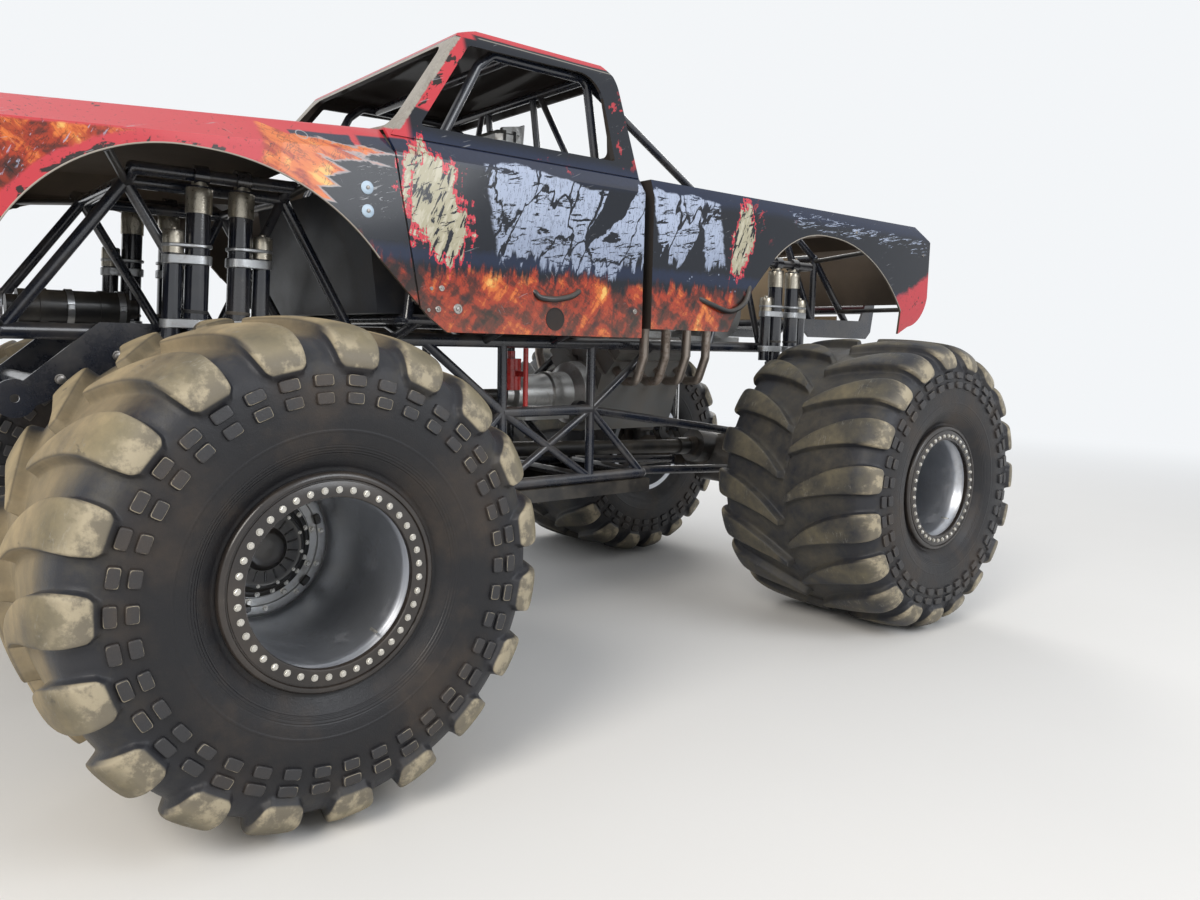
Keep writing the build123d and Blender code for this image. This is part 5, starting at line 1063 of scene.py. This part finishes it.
    ground = f.mix(navyShare.clamp(), body["black"], body["navy"])
    colour = f.layers(
        ground, (emberShare, fire(glow)), (paleShare, paleTone), (rimShare, body["outline"]),
        (boneShare, boneTone), (redShare, redTone), (flames, flameColour), (tipEdge * 0.7, body["scuff"]),
        (chips, body["soot"]), (noseEmber * 0.85, fire(heat * 0.5 + falling * 0.5)),
        (noseScuff * 0.6, body["pale"]), (ringShare * 0.8, body["scuff"]), (stripShare, redTone),
        (stripShare * stripFleck, body["soot"]), (beigeShare, beigeTone), (scratch * 0.45, body["scuff"]),
        (marks * 0.8, body["scuff"]), (gutter * 0.6, body["beige"]), (dust, body["roadDust"]),
        (inside, insideTone))
    f.bump(grain * 0.2 + speck * 0.3 + paleShare * 0.5, 0.0010, 0.25)
    rough = (0.17 + dust * 0.5 + inside * 0.5 + beigeShare * 0.35 + (cloud - 0.5) * 0.08 + redShare * 0.16)
    return f.done(colour, rough=rough.clamp())


# Finishes of the CAD nodes
framePaint = paintedFinish("framePaint", (0.012, 0.016, 0.028), 0.24, dust=(0.20, 0.17, 0.13),
                           dustShare=0.42, coat=0.6)
blackPaint = paintedFinish("blackPaint", (0.012, 0.012, 0.013), 0.38, dust=(0.18, 0.15, 0.11),
                           dustShare=0.5)
axlePaint = paintedFinish("axlePaint", (0.018, 0.017, 0.017), 0.42, dust=(0.24, 0.19, 0.14),
                          dustShare=0.7)
castGrey = paintedFinish("castGrey", (0.15, 0.15, 0.145), 0.55, dust=(0.20, 0.16, 0.12),
                         dustShare=0.7, coat=0.0)
bareSheet = metalFinish("bareSheet", (0.52, 0.52, 0.51), 0.38, 0.4, dirtShare=0.5)
darkSheet = paintedFinish("darkSheet", (0.016, 0.018, 0.024), 0.45, dust=(0.12, 0.10, 0.08),
                          dustShare=0.4, coat=0.1)
nickel = metalFinish("dullNickel", (0.52, 0.48, 0.40), 0.32, 0.3, dirtShare=0.3, coarse=25)
pipeSteel = metalFinish("pipeSteel", (0.36, 0.31, 0.27), 0.42, 0.4, dirt=(0.13, 0.08, 0.05), dirtShare=0.7)
redPaint = paintedFinish("redPaint", (0.50, 0.02, 0.018), 0.25, dustShare=0.3, coat=0.5)
coreTan = paintedFinish("coreTan", (0.36, 0.27, 0.17), 0.6, dustShare=0.6, coat=0.0)
lampGlass = metalFinish("lampGlass", (0.70, 0.71, 0.70), 0.15, 0.2, dirtShare=0.25)
blackPlastic = paintedFinish("blackPlastic", (0.02, 0.02, 0.021), 0.5, dustShare=0.6, coat=0.0)
shockBlack = paintedFinish("shockBlack", (0.008, 0.010, 0.018), 0.13, dust=(0.16, 0.14, 0.11),
                           dustShare=0.3, coat=0.9)
bodyPaint = bodyFinish()

byNode = {
    "frame": framePaint, "cage": framePaint, "body_front": bodyPaint, "body_cab": bodyPaint,
    "body_bed": bodyPaint, "body_mounts": blackPaint, "grille": blackPlastic, "headlamps": lampGlass,
    "floor_panels": darkSheet, "seat": bareSheet, "steering_wheel": blackPlastic, "engine": castGrey,
    "blower": bareSheet, "headers": pipeSteel, "gearbox": bareSheet, "transfer_case": castGrey,
    "drive_shafts": blackPaint, "link_bars": framePaint, "shocks": shockBlack,
    "tow_plates": framePaint, "belly_skid": blackPaint, "radiator": coreTan, "fuel_cell": bareSheet,
    "fire_bottle": redPaint, "front_tank": blackPaint, "axle_housing": axlePaint, "steering_ram": blackPaint,
    "ram_rod": nickel, "tie_rod": axlePaint, "knuckle": axlePaint,
}
for nodeName in nodes:
    if nodeName.startswith(("tyre_", "rim_")):
        continue
    finishNode(nodeName, next(m for key, m in byNode.items() if nodeName.startswith(key)))
print("CAD nodes finished")


# Caps, clamps, rods and bands of the shocks, at the places the CAD has them
shocks = {
    "x": 0.525, "foot": 1.000, "spread": 0.084, "head": 0.0825, "bottleAside": 0.091, "bottleDrop": 0.250,
    "bottleStart": 0.46,  # share of the shock's length
    "rows": [("front", -1.815, -1.745, 2.235), ("rear", 1.815, 1.812, 2.150)],  # foot y, head y and z
    "cap": [(0.0, 0.0455), (0.001, 0.0500), (0.072, 0.0505), (0.098, 0.0498), (0.105, 0.047),
            (0.108, 0.038), (0.109, 0.0310), (0.124, 0.0308), (0.126, 0.020)],
    "capBelow": 0.152,
    "bottleCap": [(0.0, 0.0345), (0.001, 0.0395), (0.060, 0.0400), (0.086, 0.0396), (0.092, 0.036),
                  (0.093, 0.012), (0.101, 0.0115), (0.104, 0.009), (0.1045, 0.001)],
    "bottleCapBelow": 0.062,
    "rodRadius": 0.0216, "rodFrom": 0.026, "rodTo": 0.415,  # from in metres, to as a share of the length
    "clamps": [(0.2, 0.037), (0.80, 0.037), (0.93, 0.014)],  # share of the bottle's length, height
    "clampWide": 0.0560, "clampNarrow": 0.0428,  # radius round the shock and round its bottle
    "band": [(0.0, 0.0485), (0.012, 0.0488), (0.013, 0.0462)], "bandShare": 0.56,
}


def clampShape(centre, aside, way, wide, narrow, high):
    # Plate round shock and bottle: its outline is two arcs joined by their common tangents
    wideSteps, narrowSteps, bevel = 14, 10, 0.003
    steps = wideSteps + narrowSteps
    apart = np.linalg.norm(aside)
    out = aside / apart
    over = np.cross(way, out)
    lean = math.acos((wide - narrow) / apart)
    points = []
    levels = ((-high / 2, bevel), (-high / 2 + bevel, 0.0), (high / 2 - bevel, 0.0), (high / 2, bevel))
    for level, inset in levels:
        for middle, size, first, last, count in (
                (0.0, wide - inset, lean, 2 * math.pi - lean, wideSteps),
                (apart, narrow - inset, -lean, lean, narrowSteps)):
            angle = np.linspace(first, last, count)[:, None]
            arc = size * (np.cos(angle) * out + np.sin(angle) * over)
            points.append(centre + way * level + out * middle + arc)
    flip = -1 if np.cross(out, over) @ way < 0 else 1
    caps = [np.arange(steps)[None, ::-flip], np.arange(3 * steps, 4 * steps)[None, ::flip]]
    return np.concatenate(points), [gridFaces(4, steps, False, True)[:, ::flip]] + caps


capNickel = metalFinish("shockCaps", (0.50, 0.46, 0.38), 0.30, 0.3, dirt=(0.16, 0.12, 0.08),
                        dirtShare=0.45, coarse=30)
clampMetal = metalFinish("shockClamps", (0.46, 0.47, 0.48), 0.34, 0.3, dirtShare=0.35, coarse=30)
rodChrome = metalFinish("shockRods", (0.62, 0.62, 0.62), 0.12, 0.1, dirtShare=0.25, coarse=14)
for rowName, axleY, headY, headZ in shocks["rows"]:
    caps, clamps, rods, bands = [], [], [], []
    for sideX, sideY in ((-1, -1), (-1, 1), (1, -1), (1, 1)):
        foot = np.array([sideX * shocks["x"], axleY + sideY * shocks["spread"], shocks["foot"]])
        head = np.array([sideX * shocks["x"], headY + sideY * shocks["head"], headZ])
        length = np.linalg.norm(head - foot)
        way = (head - foot) / length
        aside = np.array([0, sideY * shocks["bottleAside"], 0])
        low = foot + way * shocks["bottleStart"] * length + aside
        top = head - way * shocks["bottleDrop"] + aside
        caps.append(standing(shocks["cap"], 28, head - way * shocks["capBelow"], way))
        caps.append(standing(shocks["bottleCap"], 24, top - way * shocks["bottleCapBelow"], way))
        rod = [foot + way * shocks["rodFrom"], foot + way * shocks["rodTo"] * length]
        rods.append(tubeShape(rod, shocks["rodRadius"], steps=18))
        for share, high in shocks["clamps"]:
            middle = low + (top - low) * share - aside
            clamps.append(clampShape(middle, aside, way, shocks["clampWide"], shocks["clampNarrow"], high))
        bands.append(standing(shocks["band"], 28, foot + way * shocks["bandShare"] * length, way))
    putParts(f"shockCaps_{rowName}", caps, capNickel)
    putParts(f"shockClamps_{rowName}", clamps, clampMetal)
    putParts(f"shockRods_{rowName}", rods, rodChrome)
    putParts(f"shockBands_{rowName}", bands, blackPlastic)
print("shocks dressed")

# Fasteners, hoses, edges and seams of the body's sides, each as y and z; their x is found on the shell
fittings = {
    "discs": [(-1.333, 2.199, 0.026), (-1.331, 2.109, 0.026)],  # with radius, as for rings and port
    "screw": [(0.005, 0.008), (0.010, 0.0075), (0.011, 0.006), (0.011, 0.0003)],
    "rings": [(-0.998, 1.826, 0.013), (-1.015, 1.738, 0.014), (-0.919, 1.743, 0.022), (-1.047, 1.823, 0.008),
              (-1.060, 1.733, 0.008), (0.100, 1.773, 0.013), (1.930, 2.330, 0.009), (2.700, 2.250, 0.009)],
    "port": (-0.397, 1.719, 0.053),
    "hoses": [[(-0.515, 1.841), (-0.491, 1.814), (-0.413, 1.808), (-0.315, 1.826), (-0.252, 1.855)],
              [(0.562, 1.860), (0.644, 1.831), (0.779, 1.801), (0.897, 1.848), (0.961, 1.944)]],
    "hoseRadius": 0.014, "hoseSunk": 0.012, "hoseArch": 0.030,  # ends in the shell, middle off it
    "archEdges": [[(-2.58, 1.92), (-2.37, 2.15), (-1.96, 2.26)],
                  [(-1.96, 2.26), (-1.54, 2.15), (-1.28, 1.93)],
                  [(1.16, 2.11), (1.33, 2.222), (1.66, 2.28)],
                  [(1.66, 2.28), (2.18, 2.135), (2.47, 1.87)]],
    "edgeRadius": 0.0030, "edgeSunk": 0.0006, "edgeAbove": 0.012,
    "seam": [(-1.1045, 1.768), (-1.2260, 2.440)],
    "sealRadius": 0.0125, "sealDeep": 0.017, "sealApart": 0.011, "sealAhead": 0.03,
}
shells = {}
for shellName in ("body_front_clip", "body_cab", "body_bed"):
    mesh = nodes[shellName].data
    spots = np.empty(len(mesh.vertices) * 3, np.float32)
    mesh.vertices.foreach_get("co", spots)
    corners = np.empty(len(mesh.loops), np.int32)
    mesh.loops.foreach_get("vertex_index", corners)
    shells[shellName] = BVHTree.FromPolygons(spots.reshape(-1, 3).tolist(), corners.reshape(-1, 3).tolist())


def shellSpot(y, z):
    # The point of the body's outer side at a height and place along the truck, and which way it faces
    found = [tree.ray_cast(Vector((1.5, y, z)), Vector((-1, 0, 0)))[:2] for tree in shells.values()]
    found = [(spot, normal) for spot, normal in found if spot is not None and spot.x > 0.60]
    if not found:
        return np.array([0.98, y, z]), np.array([1.0, 0.0, 0.0])
    spot, normal = max(found, key=lambda pair: pair[0].x)
    return np.array(spot), np.array(normal)


def onShell(y, z):
    return shellSpot(y, z)[0][0]


def onSide(profile, steps, y, z):
    # Round part that stands on the shell and looks sideways
    return standing(profile, steps, (onShell(y, z), y, z), (1, 0, 0))


def sideParts():
    discs, rings, hoses, edges = [], [], [], []
    for y, z, r in fittings["discs"]:
        discs.append(onSide([(-0.002, r), (0.002, r), (0.0045, r * 0.9), (0.006, r * 0.55),
                             (0.006, r * 0.02)], 24, y, z))
        rings.append(onSide(fittings["screw"], 12, y, z))
    for y, z, r in fittings["rings"]:
        rings.append(onSide([(-0.002, r), (0.002, r), (0.004, r * 0.88), (0.004, r * 0.62), (0.001, r * 0.58),
                             (0.001, r * 0.35), (0.0045, r * 0.33), (0.005, r * 0.25), (0.005, 0.0003)],
                            16, y, z))
    # the port: a shallow near-black dish, painted shade of a round opening
    y, z, r = fittings["port"]
    port = onSide([(-0.002, r), (0.0025, r), (0.003, r * 0.95), (0.002, r * 0.90), (0.0008, r * 0.88),
                   (0.0008, 0.001)], 36, y, z)
    for line in fittings["hoses"]:
        spots = alongLine(line, 0.012)
        arch = fittings["hoseArch"] * np.sin(math.pi * np.linspace(0, 1, len(spots))) ** 0.5
        out = np.array([onShell(*spot) for spot in spots]) - fittings["hoseSunk"] + arch
        hoses.append(tubeShape(np.column_stack([out, spots]), fittings["hoseRadius"], steps=12))
    for line in fittings["archEdges"]:
        spots = arcPoints(*line, 26)
        out = [onShell(y, z + fittings["edgeAbove"]) - fittings["edgeSunk"] for y, z in spots]
        edges.append(tubeShape(np.column_stack([out, spots]), fittings["edgeRadius"], steps=8))
    first, last = np.array(fittings["seam"])
    share = np.linspace(0, 1, 25)[:, None]
    # The front shell is the lower one over the shoulder, so the seal lies under that one
    found = [shellSpot(y - fittings["sealAhead"], z) for y, z in first * (1 - share) + last * share]
    line = np.array([spot - normal * fittings["sealDeep"] for spot, normal in found])
    line = line + np.array([0, fittings["sealAhead"], 0])
    seals = [tubeShape(line + np.array([0, offset, 0]), fittings["sealRadius"], steps=8)
             for offset in (-fittings["sealApart"], fittings["sealApart"])]
    return [("bodyDiscs", discs, "bare_aluminium", paleDisc),
            ("bodyFasteners", rings, "bare_aluminium", fastenerMetal),
            ("bodyPort", [port], "black_plastic", openingShade),
            ("bodyHoses", hoses, "black_plastic", hoseRubber),
            ("archEdges", edges, "bare_aluminium", edgeWorn),
            ("cowlSeal", seals, "black_plastic", blackPlastic)]


paleDisc = paintedFinish("paleDiscPaint", (0.46, 0.60, 0.74), 0.35, dustShare=0.4, upDust=0.1)
fastenerMetal = metalFinish("fastenerMetal", (0.34, 0.32, 0.30), 0.38, 0.3, dirtShare=0.6, coarse=60)
# painted shade: near black for the shade inside a round opening; dust lies on it
openingShade = paintedFinish("openingShade", (0.006, 0.005, 0.005), 0.7, dust=(0.11, 0.06, 0.04),
                            dustShare=0.3, coat=0.0)
hoseRubber = paintedFinish("hoseRubber", (0.009, 0.009, 0.010), 0.38, dustShare=0.25)
edgeWorn = paintedFinish("wornEdge", (0.34, 0.31, 0.27), 0.6, dustShare=0.8, coat=0.0)
for pieceName, parts, slotName, material in sideParts():
    putParts(pieceName, bothSides(parts), material)

# Bolts on the tow plates and bands round the front tank, with their buckles
hardware = {
    "plateFace": 0.450, "plateBolts": [(-2.330, 1.430), (-2.130, 1.520), (-1.965, 1.600)],
    "bolt": [(0.0, 0.020), (0.003, 0.020), (0.0035, 0.016), (0.013, 0.015), (0.015, 0.012), (0.015, 0.0005)],
    "tankZ": 1.711, "tankBands": [-2.470, -2.215, -2.020], "bandRadius": 0.0768, "bandInside": 0.0745,
    "bandWide": 0.026, "buckleFrom": 0.066, "buckleTo": 0.084, "buckleHalf": 0.012,
}
bolts = [standing(hardware["bolt"], 12, (hardware["plateFace"], y, z), (1, 0, 0))
         for y, z in hardware["plateBolts"]]
putParts("towPlateBolts", bothSides(bolts), fastenerMetal)
edge, outer, inner = hardware["bandWide"] / 2, hardware["bandRadius"], hardware["bandInside"]
buckle = boxShape((hardware["buckleFrom"], -edge, -hardware["buckleHalf"]),
                  (hardware["buckleTo"], edge, hardware["buckleHalf"]), 0.003)
bands = []
for y in hardware["tankBands"]:
    bands.append(standing([(-edge, inner), (-edge, outer), (edge, outer), (edge, inner)], 40,
                          (0, y, hardware["tankZ"]), (0, 1, 0)))
    bands.append(moved(buckle, 0, y, hardware["tankZ"]))
putParts("tankBands", bands, clampMetal)
print("body trimmed")

# Head restraint box, its flange and slots, and the belts over the seat
restraint = {
    "half": 0.156, "front": -0.178, "back": -0.004, "low": 2.592, "high": 2.752, "corner": 0.028,
    "flange": 2.668, "flangeOut": (0.022, 0.020), "flangeHigh": 0.014,  # further out sideways and ahead
    "rimOut": (0.010, 0.008), "rimHigh": 0.022, "sheetRound": 0.006,
    "slotsY": (-0.135, -0.070), "slotAbove": 0.020, "slotHalf": (0.002, 0.009), "slotHigh": 0.056,
    "stub": (0.06, -0.085), "stubHalf": 0.012, "stubHigh": 0.030, "stubSunk": 0.002,
    "belt": [(-0.052, 2.56), (-0.062, 2.44), (-0.093, 2.20), (-0.128, 2.02), (-0.175, 1.972), (-0.30, 1.985)],
    "beltX": 0.095, "beltWide": 0.052, "beltThick": 0.004,
}


def beltShape(line, x, wide, thick):
    # Flat strap along y and z points: four edges, the outer ones thick away from the line
    spots = alongLine(line, 0.02)
    way = np.gradient(spots, axis=0)
    way /= np.linalg.norm(way, axis=1)[:, None]
    square = np.stack([-way[:, 1], way[:, 0]], -1)
    rows = []
    for off, lift in ((-wide / 2, 0), (wide / 2, 0), (wide / 2, thick), (-wide / 2, thick)):
        rows.append(np.column_stack([np.full(len(spots), x + off), spots + square * lift]))
    points = np.stack(rows, 1)
    last = (len(spots) - 1) * 4
    return points.reshape(-1, 3), [gridFaces(len(spots), 4, False, True), np.arange(4)[None, ::-1],
                                   np.arange(last, last + 4)[None]]


def sheetRound(level, out, high):
    # Sheet round the head restraint's box, out by so much sideways and ahead
    half, front = restraint["half"] + out[0], restraint["front"] - out[1]
    return boxShape((-half, front, level), (half, restraint["back"], level + high), restraint["sheetRound"])


half = restraint["half"]
box = boxShape((-half, restraint["front"], restraint["low"]), (half, restraint["back"], restraint["high"]),
               restraint["corner"])
flange = sheetRound(restraint["flange"], restraint["flangeOut"], restraint["flangeHigh"])
rim = sheetRound(restraint["low"], restraint["rimOut"], restraint["rimHigh"])
putParts("headRestraint", [box, flange, rim], bareSheet, 30.0)
slotX, slotY = restraint["slotHalf"]
slot = boxShape((-slotX, -slotY, 0.0), (slotX, slotY, restraint["slotHigh"]), 0.001)
stubHalf = restraint["stubHalf"]
stub = boxShape((-stubHalf, -stubHalf, 0.0), (stubHalf, stubHalf, restraint["stubHigh"]), 0.004)
dark = []
for side in (-1, 1):
    for y in restraint["slotsY"]:
        dark.append(moved(slot, side * half, y, restraint["flange"] + restraint["slotAbove"]))
    dark.append(moved(stub, side * restraint["stub"][0], restraint["stub"][1],
                      restraint["high"] - restraint["stubSunk"]))
    dark.append(beltShape(restraint["belt"], side * restraint["beltX"], restraint["beltWide"],
                          -restraint["beltThick"]))
putParts("beltsAndSlots", dark, blackPlastic, 30.0)
print("cab dressed")

setCamera()
setStudio()
print("ready")
